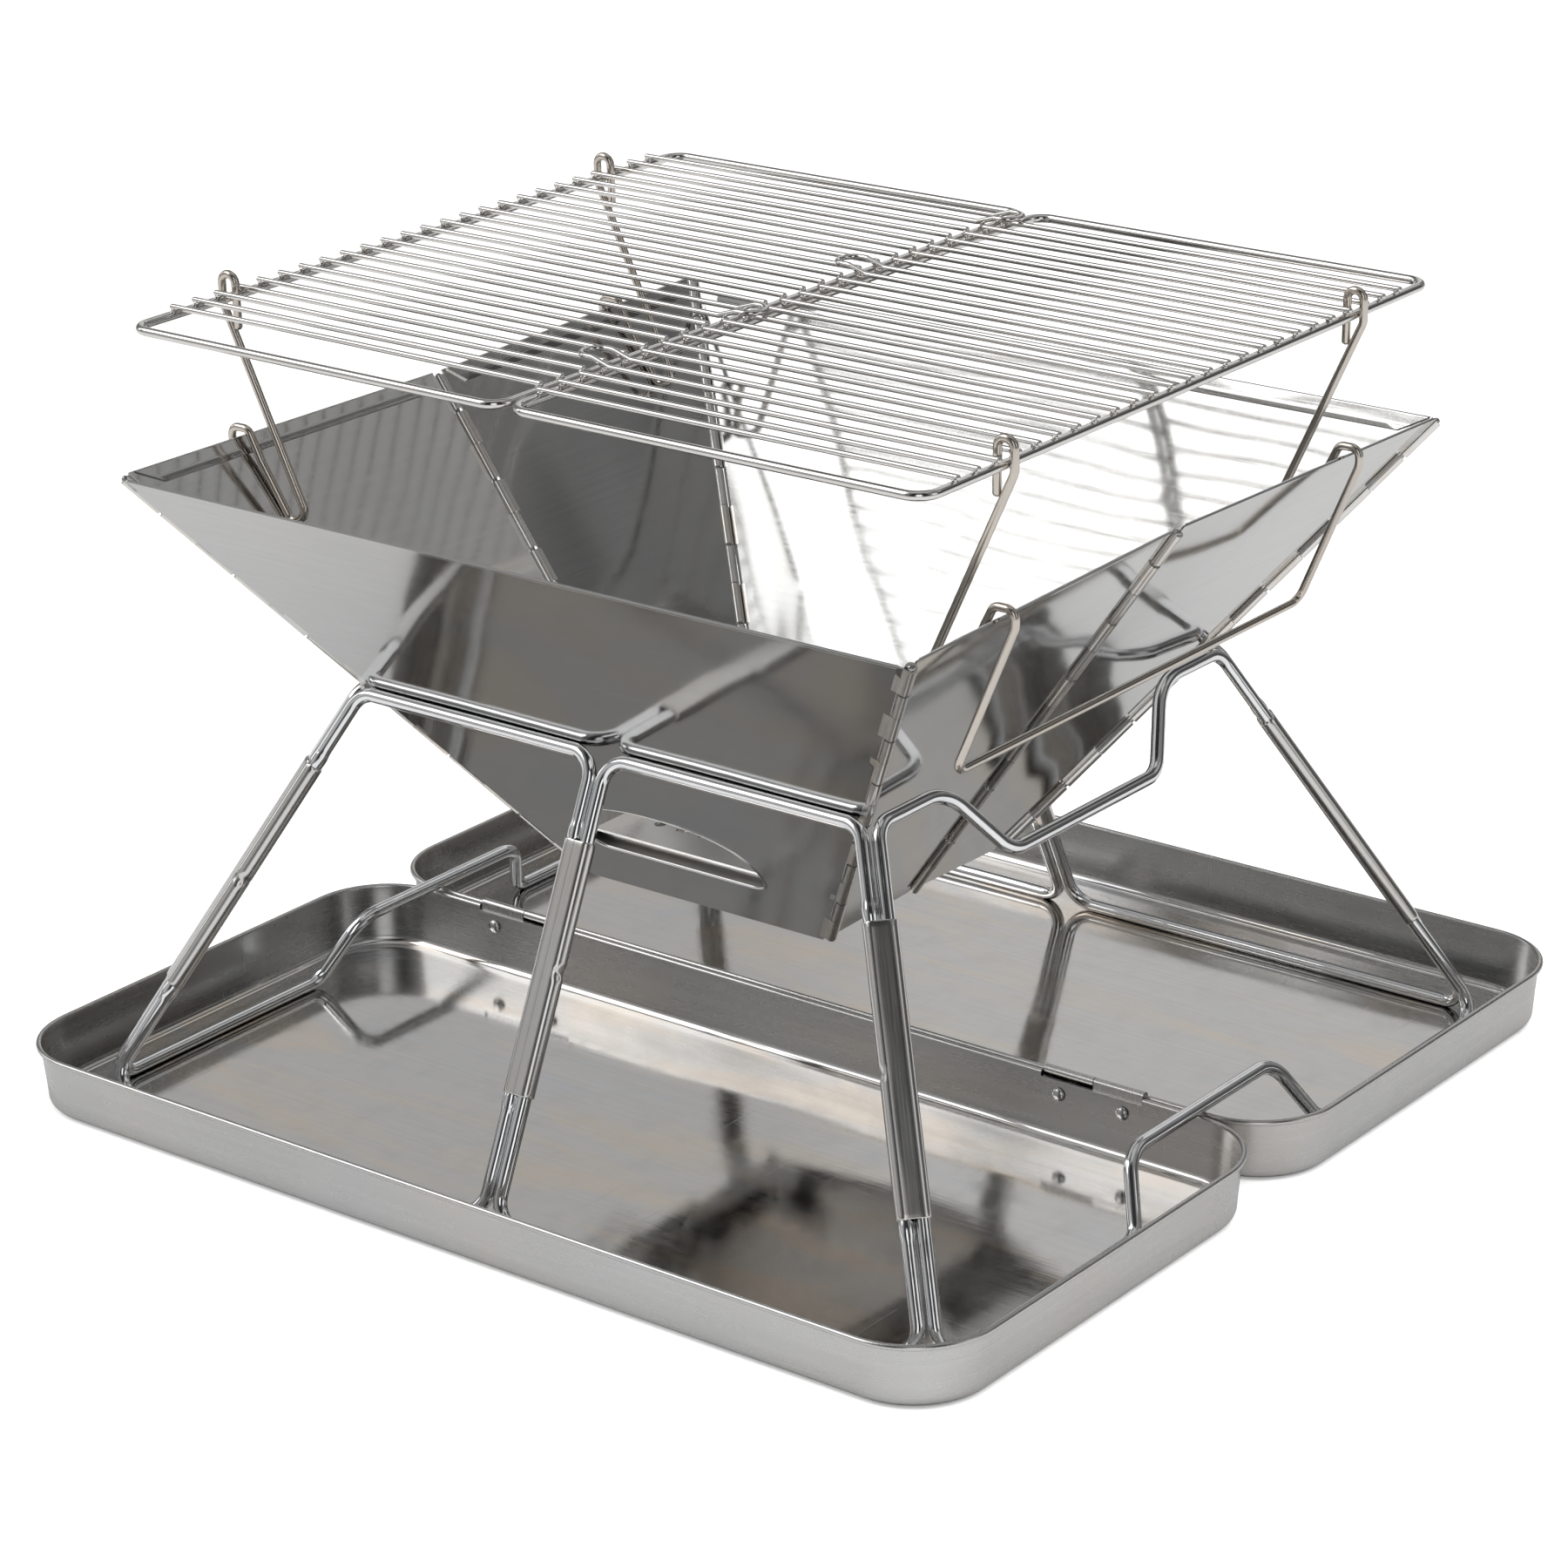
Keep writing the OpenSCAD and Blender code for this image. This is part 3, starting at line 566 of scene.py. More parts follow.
def tray_wall(profile, columns, seed):
    """Wall points and wrap, gently rippled between floor and rim."""
    ripple, fine_ripple = waves(seed, 95), waves(seed + 1, 42)
    steps = np.linalg.norm(np.diff(profile, axis=0), axis=1)
    climb = np.concatenate([[0], np.cumsum(steps)])
    notch_r = WALL_R - TRAY_T - DRAFT + wall_lean(NOTCH_Z)
    verts, wrap = [], []
    run, last = 0.0, None
    for cx, cy, a, notched in columns:
        here = (cx + WALL_R * math.cos(a), cy + WALL_R * math.sin(a))
        if last is not None:
            run += math.hypot(here[0] - last[0], here[1] - last[1])
        last = here
        # the jointed wall stays flat near the hinges
        jointed = abs(a - math.pi / 2) < 1e-6
        away = min(1.0, abs(abs(cx) - HINGE_X) / 30) if jointed else 1.0
        for i, (r, z) in enumerate(profile):
            if notched and z > NOTCH_Z:
                r = min(max(r, notch_r), notch_r + TRAY_T)
                z = NOTCH_Z
            free = min(1, max(0, (z - 3) / 6)) * min(1, max(0, (26.6 - z) / 7))
            r = r + free * away * (0.10 * ripple(run, z * 2) + 0.015 * fine_ripple(run, z))
            verts.append((cx + r * math.cos(a), cy + r * math.sin(a), z))
            wrap.append((climb[i], run, 0.0))
    return verts, wrap


def add_tray_floors(verts, wrap, faces, size, columns, seed):
    """Outer and inner floor, as rings that close in on the middle."""
    wave, fine_wave = waves(seed + 2, 150), waves(seed + 3, 60)
    count = len(columns)
    base = [(cx + FLOOR_R * math.cos(a), cy + FLOOR_R * math.sin(a)) for cx, cy, a, _ in columns]
    for inner in (False, True):
        level = TRAY_T if inner else 0.0
        ring = [i * size + (size - 1 if inner else 0) for i in range(count)]
        for q in range(1, FLOOR_RINGS):
            shrink = 1 - q / FLOOR_RINGS
            fade = min(1.0, q / 4.0)
            following = []
            for x, y in base:
                x, y = x * shrink, y * shrink
                lift = 0.0
                if inner:
                    swell = FLOOR_WAVE * wave(x, y) + FLOOR_WAVE_FINE * fine_wave(x, y)
                    lift = max(fade * swell * FLOOR_WAVE_SCALE + fade * FLOOR_CROWN, 0.0)
                following.append(len(verts))
                verts.append((x, y, level + lift))
                wrap.append((y, x, 0.0))
            for i in range(count):
                j = (i + 1) % count
                a0, a1, b0, b1 = ring[i], ring[j], following[i], following[j]
                faces.append((a0, b0, b1, a1) if inner else (a0, a1, b1, b0))
            ring = following
        middle = len(verts)
        lift = FLOOR_CROWN + FLOOR_WAVE * FLOOR_WAVE_SCALE * float(wave(0, 0)) if inner else 0
        verts.append((0, 0, level + lift))
        wrap.append((0, 0, 0))
        for i in range(count):
            a0, a1 = ring[i], ring[(i + 1) % count]
            faces.append((a0, middle, a1) if inner else (a0, a1, middle))


def build_tray(place, turned, seed):
    """turned rotates the front tray half a turn about z, to the rear."""
    profile, columns = tray_profile(), tray_columns()
    size, count = len(profile), len(columns)
    verts, wrap = tray_wall(profile, columns, seed)
    faces = []
    for i in range(count):
        near, far = i * size, (i + 1) % count * size
        for j in range(size - 1):
            faces.append((near + j, far + j, far + j + 1, near + j + 1))
    add_tray_floors(verts, wrap, faces, size, columns, seed)
    verts = np.array(verts)
    verts[:, 1] += TRAY_CENTRE_Y
    if turned:
        verts[:, :2] *= -1
    piece = Piece()
    piece.add(verts, faces, wrap)
    obj = piece.build(f"{place}_tray_shell", f"{place}_tray", STEELS["tray"], angle=40)
    obj.data.materials.append(STEELS["tray_floor"])
    for face in obj.data.polygons:
        if face.normal.z > 0.5 and face.center.z < 0.0035:
            face.material_index = 1


build_tray("front", turned=False, seed=11)
build_tray("rear", turned=True, seed=51)

# ------------------------------------------------------------------ tray hinges
HINGE_LEN = 50.0
HINGE_R, HINGE_BORE = 2.0, 1.15
HINGE_Z = TRAY_H + 0.1
LEAF_T, LEAF_CORNER, LEAF_BOTTOM = 0.8, 3, 13.5
LEAF_Y = JOINT + TRAY_R - WALL_R - 0.02     # far face of the leaf, from y = 0
BARREL_REACH = 8.5
RIVET_Z, RIVET_X = 20.5, 16                 # height, and distance from the hinge middle
HEAD_Y = 4.1
# rivet outline: radius, distance from y = 0
RIVET = (
    (0, LEAF_Y - 1.35), (2.2, LEAF_Y - 1.35), (2.6, LEAF_Y - 1.15), (2.6, LEAF_Y - 0.82),
    (1.6, LEAF_Y - 0.82), (1.6, HEAD_Y), (3.0, HEAD_Y), (3.1, HEAD_Y + 0.15),
    (2.95, HEAD_Y + 0.6), (2.6, HEAD_Y + 1.0), (2.1, HEAD_Y + 1.32), (1.4, HEAD_Y + 1.56),
    (0.7, HEAD_Y + 1.67), (0, HEAD_Y + 1.7),
)


def hinge_leaves(place, mirrored):
    """Round-cornered leaves; each has a barrel over one half of its hinge."""
    piece = Piece()
    for side in (-1, 1):
        hinge_x = side * HINGE_X
        right_half = (side > 0) != mirrored
        x0, x1 = hinge_x - HINGE_LEN / 2, hinge_x + HINGE_LEN / 2
        outline = []
        for cx, start in ((x0 + LEAF_CORNER, 180), (x1 - LEAF_CORNER, 270)):
            for a in range(0, 91, 15):
                t = math.radians(start + a)
                outline.append((cx + LEAF_CORNER * math.cos(t),
                                LEAF_BOTTOM + LEAF_CORNER + LEAF_CORNER * math.sin(t)))
        leaf_top = HINGE_Z - HINGE_R - 0.6
        outline += [(x1, leaf_top), (x0, leaf_top)]
        piece.add(*extrude(outline, vec(0, LEAF_T - LEAF_Y, 0), X_AXIS, Z_AXIS, -Y_AXIS, LEAF_T))
        barrel_x = hinge_x + 0.2 if right_half else x0
        piece.add(*rolled(vec(barrel_x, 0, HINGE_Z), -Z_AXIS, -Y_AXIS, X_AXIS,
                          HINGE_LEN / 2 - 0.2, LEAF_Y - LEAF_T / 2, LEAF_T, HINGE_R,
                          HINGE_BORE, BARREL_REACH))
    if mirrored:
        piece.mirror_y()
    piece.build(f"tray_hinge_{place}_leaf_pair", f"tray_hinge_{place}_leaves", STEELS["tray"],
                angle=30)


def hinge_pins():
    piece = Piece()
    half = HINGE_LEN / 2 + 0.8
    for hinge_x in (-HINGE_X, HINGE_X):
        path = [vec(hinge_x + dx, 0, HINGE_Z) for dx in (-half, 0, half)]
        piece.add(*tube(path, 1.1, sides=20, dome=0.8))
    piece.build("tray_hinge_pin_pair", "tray_hinge_pins", STEELS["pin"])


def rivets(place, mirrored):
    piece = Piece()
    sides = 28
    for hinge_x in (-HINGE_X, HINGE_X):
        for dx in (-RIVET_X, RIVET_X):
            verts = []
            for r, y in RIVET:
                for j in range(sides):
                    t = 2 * math.pi * j / sides
                    verts.append((hinge_x + dx + r * math.cos(t), -y, RIVET_Z + r * math.sin(t)))
            piece.add(verts, skin(len(RIVET), sides))
    if mirrored:
        piece.mirror_y()
    obj = piece.build(f"{place}_tray_rivet_heads", f"{place}_tray_rivets", STEELS["rivet"],
                      angle=35)
    # weld the coincident points at the two poles
    bm = bmesh.new()
    bm.from_mesh(obj.data)
    bmesh.ops.remove_doubles(bm, verts=bm.verts, dist=1e-6)
    bmesh.ops.recalc_face_normals(bm, faces=bm.faces)
    bm.to_mesh(obj.data)
    bm.free()


hinge_leaves("front", mirrored=False)
hinge_leaves("rear", mirrored=True)
hinge_pins()
rivets("front", mirrored=False)
rivets("rear", mirrored=True)

# ------------------------------------------------------------------ firebox
APEX = vec(0, 0, APEX_Z)
RISE = BOX_TOP - APEX_Z
# outward run per unit of height: corners in x and y, side hinges in x
CORNER_RUN_X, CORNER_RUN_Y, MID_RUN = BOX_X / RISE, BOX_Y / RISE, (BOX_X - MID_INSET) / RISE
# sheet plane from the hinge axes (outward is +), and its edges back from the axes
WALL_OFFSET, WALL_BACK = 1.98, 2.2          # front and rear walls
SIDE_OFFSET, SIDE_BACK = -0.6, 3.0          # side panels
KNUCKLE_BORE = 1.5
SHEET_GRID = 8.0
# slot in the walls: half width, bottom height, height, lower corner half width and height
SLOT_W, SLOT_Z, SLOT_H, SLOT_CORNER_W, SLOT_CORNER_H = 48.0, 116.4, 28.5, 10, 7
# hem section, down the inner side: distance inward, height above the sheet edge
HEM = (
    [(0.40, -8.5), (0.5, -8.6), (1.1, -8.6), (1.2, -8.45), (1.2, -5.0), (1.2, -1.1)]
    + [(0.4 + 0.82 * math.cos(math.radians(a)), -1.0 + 1.0 * math.sin(math.radians(a)))
       for a in range(10, 171, 20)]
    + [(-0.42, -1.05), (-0.42, -1.3), (0.38, -1.3)]
)
HEM_PARTS = 44


def corner(sx, sy):
    """Direction of a corner edge from the apex."""
    return unit([sx * CORNER_RUN_X, sy * CORNER_RUN_Y, 1])


def middle(sx):
    """Direction of the hinge in the middle of a side."""
    return unit([sx * MID_RUN, 0, 1])


def at_z(axis, z):
    return APEX + axis * (z - APEX_Z) / axis[2]


def slot_points(sheet_bottom):
    """Arched slot outline in panel coordinates."""
    slope = math.hypot(1, CORNER_RUN_Y)
    bottom = sheet_bottom + (SLOT_Z - BOX_BOTTOM) * slope
    height = SLOT_H * slope
    points = []
    for a in range(0, 181, 5):
        c = math.cos(math.radians(a))
        points.append((SLOT_W * c * max(0.0001, abs(c)) ** -0.18,
                       bottom + SLOT_CORNER_H
                       + (height - SLOT_CORNER_H) * math.sin(math.radians(a)) ** 0.85))

    def lower_corner(side, angles):
        for a in angles:
            x = SLOT_W - SLOT_CORNER_W * (1 - math.cos(math.radians(a)))
            y = bottom + SLOT_CORNER_H - SLOT_CORNER_H * math.sin(math.radians(a))
            points.append((side * x, y))

    lower_corner(-1, range(15, 91, 15))
    for i in range(1, 10):
        x = -SLOT_W + SLOT_CORNER_W + (2 * SLOT_W - 2 * SLOT_CORNER_W) * i / 10
        points.append((x, bottom))
    lower_corner(1, range(90, 14, -15))
    return points


def along_loop(points, step):
    """Closed outline resampled at about step."""
    result = []
    for i in range(len(points)):
        a, b = np.array(points[i]), np.array(points[(i + 1) % len(points)])
        parts = max(1, int(round(np.linalg.norm(b - a) / step)))
        for j in range(parts):
            result.append(tuple(a + (b - a) * j / parts))
    return result


def inside(x, y, outline):
    odd = False
    for i in range(len(outline)):
        x1, y1 = outline[i]
        x2, y2 = outline[(i + 1) % len(outline)]
        if (y1 > y) != (y2 > y) and x < (x2 - x1) * (y - y1) / (y2 - y1) + x1:
            odd = not odd
    return odd


def far_from(x, y, outline, distance):
    points = np.array(outline)
    return np.min((points[:, 0] - x) ** 2 + (points[:, 1] - y) ** 2) > distance * distance


def triangulate(loop, hole):
    """Fill the loop, less the hole, with even triangles; returns points and triangles."""
    x0, x1 = min(p[0] for p in loop), max(p[0] for p in loop)
    y0, y1 = min(p[1] for p in loop), max(p[1] for p in loop)
    across, up = int((x1 - x0) / SHEET_GRID), int((y1 - y0) / SHEET_GRID)
    points = loop + hole
    for i in range(1, across):
        for j in range(1, up):
            x, y = x0 + (x1 - x0) * (i + 0.5 * (j % 2)) / across, y0 + (y1 - y0) * j / up
            if not inside(x, y, loop) or not far_from(x, y, loop, 4.5):
                continue
            if not hole or (not inside(x, y, hole) and far_from(x, y, hole, 3.5)):
                points.append((x, y))
    rim, cut = len(loop), len(hole)
    edges = [(i, (i + 1) % rim) for i in range(rim)]
    edges += [(rim + i, rim + (i + 1) % cut) for i in range(cut)]
    flat, _, found, _, _, _ = delaunay_2d_cdt([Vector(p) for p in points], edges, [], 1, 1e-5)
    flat = np.array([(p.x, p.y) for p in flat])
    triangles = []
    for tri in found:
        x, y = flat[list(tri)].mean(0)
        if inside(x, y, loop) and not (hole and inside(x, y, hole)):
            a, b, c = (flat[i] for i in tri)
            if (b[0] - a[0]) * (c[1] - a[1]) - (b[1] - a[1]) * (c[0] - a[0]) < 0:
                tri = (tri[0], tri[2], tri[1])
            triangles.append(tuple(tri))
    return flat, triangles


class Panel:
    """Plane through two hinge axes, with x across, y up and the apex as origin."""

    def __init__(self, start, end, is_wall):
        # any one height gives the same direction across
        self.across = unit(at_z(end, 200) - at_z(start, 200))
        outward = unit(np.cross(start, end))
        if not outward[2] < 0:      # the box flares, so outward faces look down
            outward = -outward
        up = unit(np.cross(outward, self.across))
        self.up = up if up[2] > 0 else -up
        self.normal = np.cross(self.across, self.up)
        sign = 1 if self.normal @ outward > 0 else -1
        self.offset = (WALL_OFFSET if is_wall else SIDE_OFFSET) * sign
        self.inward = -sign
        self.start_low, self.start_top = self.local(start, BOX_BOTTOM), self.local(start, BOX_TOP)
        self.end_low, self.end_top = self.local(end, BOX_BOTTOM), self.local(end, BOX_TOP)
        back = WALL_BACK if is_wall else SIDE_BACK
        self.start_back = back / unit(self.start_top - self.start_low)[1]
        self.end_back = back / unit(self.end_top - self.end_low)[1]

    def local(self, axis, z):
        arm = at_z(axis, z) - APEX
        return np.array([arm @ self.across, arm @ self.up])

    def at(self, x, y, out):
        return APEX + self.across * x + self.up * y + self.normal * out

    def outline(self):
        return [(self.start_low[0] + self.start_back, self.start_low[1]),
                (self.end_low[0] - self.end_back, self.end_low[1]),
                (self.end_top[0] - self.end_back, self.end_top[1]),
                (self.start_top[0] + self.start_back, self.start_top[1])]


def add_sheet(piece, panel, slot, seed, ripple):
    """Thin sheet, rippled away from its edges."""
    loop = along_loop(panel.outline(), SHEET_GRID)
    flat, triangles = triangulate(loop, along_loop(slot, 3.0))
    wave, fine_wave = waves(seed, 170), waves(seed + 1, 75)
    edge_gap = np.sqrt(((flat[:, None, :] - np.array(loop)[None]) ** 2).sum(2)).min(1)
    fade = np.clip(edge_gap / 35, 0, 1) ** 1.3
    x, y = flat[:, 0], flat[:, 1]
    lift = ripple * fade * (wave(x, y) + 0.22 * fine_wave(x, y))
    verts, wrap = [], []
    for side in (0.5, -0.5):
        for (x, y), rise in zip(flat, lift):
            verts.append(panel.at(x, y, panel.offset + side * BOX_T + rise))
            wrap.append((x, y, 0))
    count = len(flat)
    faces = triangles + [(a + count, c + count, b + count) for a, b, c in triangles]
    # edges used one way only lie on the border
    directed = dict.fromkeys(e for a, b, c in triangles for e in ((a, b), (b, c), (c, a)))
    for a, b in directed:
        if (b, a) not in directed:
            faces.append((b, a, a + count, b + count))
    piece.add(verts, faces, wrap)


def add_slot_lip(piece, panel, slot):
    """Round lip along the edge of the slot."""
    path = [panel.at(x, y, panel.offset) for x, y in slot]
    path = [p for i, p in enumerate(path) if np.linalg.norm(p - path[i - 1]) > 0.3]
    piece.add(*tube(np.array(path), 0.72, sides=12, closed=True))


def add_hem(piece, panel, seed):
    """Fold over the top edge, its ends cut back at about 45 degrees."""
    start_run, end_run = panel.start_top - panel.start_low, panel.end_top - panel.end_low
    start_slope, end_slope = start_run[0] / start_run[1], end_run[0] / end_run[1]
    start_x = panel.start_top[0] + panel.start_back
    end_x = panel.end_top[0] - panel.end_back
    top = panel.start_top[1]
    wobble = waves(seed + 7, 60)
    verts, wrap = [], []
    for i in range(HEM_PARTS + 1):
        for depth, y in HEM:
            cut = 3 + max(0.0, -y - 1.0) * 1.05
            x0 = start_x + y * start_slope + cut
            x1 = end_x + y * end_slope - cut
            x = x0 + (x1 - x0) * i / HEM_PARTS
            shift = 0.10 * float(wobble(x, 0)) * (1 if y < -4 else 0)
            verts.append(panel.at(x, top + y, panel.offset + panel.inward * (depth + shift)))
            wrap.append((x, top + y, depth))
    rings, size = HEM_PARTS + 1, len(HEM)
    piece.add(verts, skin(rings, size) + end_caps(rings, size), wrap)


def add_knuckles(piece, panel, axis, parity, toward_sheet):
    """Every second barrel along a hinge axis; parity picks which."""
    low = (BOX_BOTTOM - APEX_Z) / axis[2] + 0.6
    high = (BOX_TOP - APEX_Z) / axis[2] - 2
    step = (high - low) / KNUCKLES
    length = step - (1.5 if parity == 1 else 0.4)
    ey = unit(toward_sheet - axis * (toward_sheet @ axis))
    ez = np.cross(axis, ey)
    mid = (1 if ez @ panel.normal > 0 else -1) * panel.offset
    for i in range(parity, KNUCKLES, 2):
        base = APEX + axis * (low + i * step + 0.2)
        verts, faces = rolled(base, ey, ez if mid >= 0 else -ez, axis, length, abs(mid), BOX_T,
                              KNUCKLE_R, KNUCKLE_BORE, SIDE_BACK + 1.6)
        # the wrap jumps 37 mm per knuckle so that no two look alike
        piece.add(verts, faces, [((p - base) @ axis + 37 * i, (p - base) @ ey, (p - base) @ ez)
                                 for p in verts])


def build_panel(place, start, end, parities, is_wall, seed):
    """Sheet with hem, and the knuckles on its start and end hinge."""
    panel = Panel(start, end, is_wall)
    node = f"firebox_{place}_{'wall' if is_wall else 'panel'}"
    name = f"firebox_{place}_sheet"
    slot = slot_points(panel.start_low[1]) if is_wall else []
    piece = Piece()
    add_sheet(piece, panel, slot, seed, ripple=0.22 if is_wall else 0.25)
    if is_wall:
        add_slot_lip(piece, panel, slot)
    add_hem(piece, panel, seed)
    piece.build(name, node, STEELS["firebox"], angle=35)
    piece = Piece()
    add_knuckles(piece, panel, start, parities[0], panel.across)
    add_knuckles(piece, panel, end, parities[1], -panel.across)
    piece.build(name + "_knuckles", node, STEELS["knuckle"], angle=28)


# place, start hinge, end hinge, knuckle parities, is a slotted wall, seed
PANELS = (
    ("front", corner(-1, -1), corner(1, -1), (0, 0), True, 101),
    ("rear", corner(1, 1), corner(-1, 1), (0, 0), True, 111),
    ("right_front", corner(1, -1), middle(1), (1, 0), False, 121),
    ("right_rear", middle(1), corner(1, 1), (1, 1), False, 131),
    ("left_front", middle(-1), corner(-1, -1), (0, 1), False, 141),
    ("left_rear", corner(-1, 1), middle(-1), (1, 1), False, 151),
)
for row in PANELS:
    build_panel(*row)


def firebox_pins(name, node, axes):
    piece = Piece()
    for axis in axes:
        low = (BOX_BOTTOM - APEX_Z) / axis[2] + 0.2
        high = (BOX_TOP - APEX_Z) / axis[2] - 0.8
        path = [APEX + axis * low, APEX + axis * (low + high) / 2, APEX + axis * high]
        piece.add(*tube(path, 1.45, sides=24, dome=0.7))
    piece.build(name, node, STEELS["pin"])


for place, sy in (("front", -1), ("rear", 1)):
    firebox_pins(f"firebox_{place}_pin_pair", f"firebox_{place}_pins",
                 [corner(-1, sy), corner(1, sy)])
for place, sx in (("right", 1), ("left", -1)):
    firebox_pins(f"firebox_{place}_pin_rod", f"firebox_{place}_pin", [middle(sx)])

# ------------------------------------------------------------------ stand
STAND_R = STAND_D / 2
KNUCKLE_FIT = KNUCKLE_R + 0.1
TOP_X = CORNER_RUN_X * (STAND_TOP - APEX_Z) + (STAND_R + KNUCKLE_FIT) * math.hypot(1, CORNER_RUN_X)
TOP_Y = CORNER_RUN_Y * (STAND_TOP - APEX_Z) + (STAND_R + KNUCKLE_FIT) * math.hypot(1, CORNER_RUN_Y)
FOOT_X, FOOT_Y = TOP_X * STAND_SPREAD, TOP_Y * STAND_SPREAD
FOOT_Z = TRAY_T + STAND_R + 0.05
DROP = STAND_TOP - FOOT_Z
# the corner legs stand back from the corner so that they end up LEG_PAIR apart
FRONT_NORMAL, SIDE_NORMAL = unit([0, -DROP, FOOT_Y - TOP_Y]), unit([DROP, 0, FOOT_X - TOP_X])
WEDGE = math.pi - math.acos(abs(float(FRONT_NORMAL @ SIDE_NORMAL)))
EDGE_GAP = LEG_PAIR / (2 * math.sin(WEDGE / 2))
FRONT_SLANT, SIDE_SLANT = math.hypot(FOOT_Y - TOP_Y, DROP), math.hypot(FOOT_X - TOP_X, DROP)
HALF_LEG_BACK = EDGE_GAP * math.hypot(FRONT_SLANT, FOOT_X - TOP_X) / FRONT_SLANT
SIDE_LEG_BACK = EDGE_GAP * math.hypot(SIDE_SLANT, FOOT_Y - TOP_Y) / SIDE_SLANT
LEG_BEND = 11.0
# raised swelling of the wire beyond each sleeve end: height, half length, distance
STOP_UP, STOP_HALF, STOP_GAP = 0.42, 3.2, 3
JOG_Z, JOG_TOP_Y, JOG_LOW_Y = 149.5, 77.0, 52.0         # dip in the upper side wire
OVER_Z, OVER_TOP_Y, OVER_FOOT_Y = TRAY_H + STAND_R + 0.5, 53.0, 69.0    # rise over the rims

CORNERS = (("front_left", -1, -1), ("front_right", 1, -1), ("rear_right", 1, 1),
           ("rear_left", -1, 1))
SIDES = (("right", 1), ("left", -1))


def splay(z):
    """Half sizes of the stand at height z."""
    t = (STAND_TOP - z) / DROP
    return TOP_X + (FOOT_X - TOP_X) * t, TOP_Y + (FOOT_Y - TOP_Y) * t


def half_leg(sx, sy, z):
    """Corner leg of a front or rear half loop."""
    x, y = splay(z)
    return vec(sx * (x - HALF_LEG_BACK), sy * y, z)


def side_leg(sx, sy, z):
    """Corner leg of a side loop."""
    x, y = splay(z)
    return vec(sx * x, sy * (y - SIDE_LEG_BACK), z)


def mid_leg(sx, sy, z):
    """Leg of a half loop next to x = 0."""
    return vec(sx * LEG_PAIR / 2, sy * splay(z)[1], z)


def on_side(sx, y, z):
    return vec(sx * splay(z)[0], y, z)


def half_loop(place, sx, sy):
    """Front or rear loop on one side of x = 0, with stops beyond the sleeve ends."""
    points = [mid_leg(sx, sy, STAND_TOP), half_leg(sx, sy, STAND_TOP),
              half_leg(sx, sy, FOOT_Z), mid_leg(sx, sy, FOOT_Z)]
    path = refine(wire_path(points, [LEG_BEND] * 4, closed=True, step=4.0), 1.3, closed=True)
    # of the two middle wires only the left one has stops
    legs = (half_leg, mid_leg) if sx < 0 else (half_leg,)
    radii = np.full(len(path), STAND_R)
    for leg in legs:
        for z in (SLEEVE_Z0 - STOP_GAP, SLEEVE_Z1 + STOP_GAP):
            distance = np.linalg.norm(path - leg(sx, sy, z), axis=1)
            radii += STOP_UP * np.exp(-(distance / STOP_HALF) ** 4)
    piece = Piece()
    piece.add(*tube(path, radii, sides=28, closed=True))
    piece.build(f"stand_{place}_wire", f"stand_{place}_loop", STEELS["stand_wire"])


def side_loop(place, sx):
    # corner point, bend radius
    stations = [
        (side_leg(sx, -1, STAND_TOP), LEG_BEND),
        (on_side(sx, -JOG_TOP_Y, STAND_TOP), 24.0), (on_side(sx, -JOG_LOW_Y, JOG_Z), 14.0),
        (on_side(sx, JOG_LOW_Y, JOG_Z), 14.0), (on_side(sx, JOG_TOP_Y, STAND_TOP), 24.0),
        (side_leg(sx, 1, STAND_TOP), LEG_BEND), (side_leg(sx, 1, FOOT_Z), LEG_BEND),
        (on_side(sx, OVER_FOOT_Y, FOOT_Z), 10), (on_side(sx, OVER_TOP_Y, OVER_Z), 16),
        (on_side(sx, -OVER_TOP_Y, OVER_Z), 16), (on_side(sx, -OVER_FOOT_Y, FOOT_Z), 10),
        (side_leg(sx, -1, FOOT_Z), LEG_BEND),
    ]
    path = refine(wire_path(*zip(*stations), closed=True, step=4.0), 6.0, closed=True)
    piece = Piece()
    piece.add(*tube(path, STAND_R, sides=28, closed=True))
    piece.build(f"stand_{place}_wire", f"stand_{place}_loop", STEELS["stand_wire"])


for row in CORNERS:
    half_loop(*row)
for row in SIDES:
    side_loop(*row)

# ------------------------------------------------------------------ leg sleeves
SLEEVE_OUTER, SLEEVE_INNER = STAND_R + 0.88, STAND_R + 0.06
SEAM_STEP = 0.45
END_SOFT, END_SHRINK = 0.6, 0.22            # length and depth of the rounded ends
NICK_AT, NICK_HALF, NICK_DEPTH = 0.49, 3.2, 0.85    # place along the sleeve, then sizes


def sleeve_section(radius, gap, seam_step):
    """Stadium round both wires: x, y, and which end (-1 first wire, 0 flat, 1 second)."""
    points = []
    for a in range(90, 271, 10):
        t = math.radians(a)
        points.append((radius * math.cos(t), radius * math.sin(t), -1))
    for k in range(1, 6):
        points.append((gap * k / 6, -radius, 0))
    for a in range(-90, 91, 10):
        t = math.radians(a)
        points.append((gap + radius * math.cos(t), radius * math.sin(t), 1))
    for k, step in ((5, 0), (4, 0), (3.35, 0), (3.1, seam_step), (2.9, 0), (2, 0), (1, 0)):
        points.append((gap * k / 6, radius - step, 0))
    return points


def sleeve_stations(length):
    """Distances along the sleeve, closer together round the nick."""
    stations = [0, 0.25, END_SOFT]
    z = 2.0
    while z < length - 1:
        stations.append(z)
        z += 1.1 if abs(z - length * NICK_AT) < 6 else 2.5
    return stations + [length - END_SOFT, length - 0.25, length]


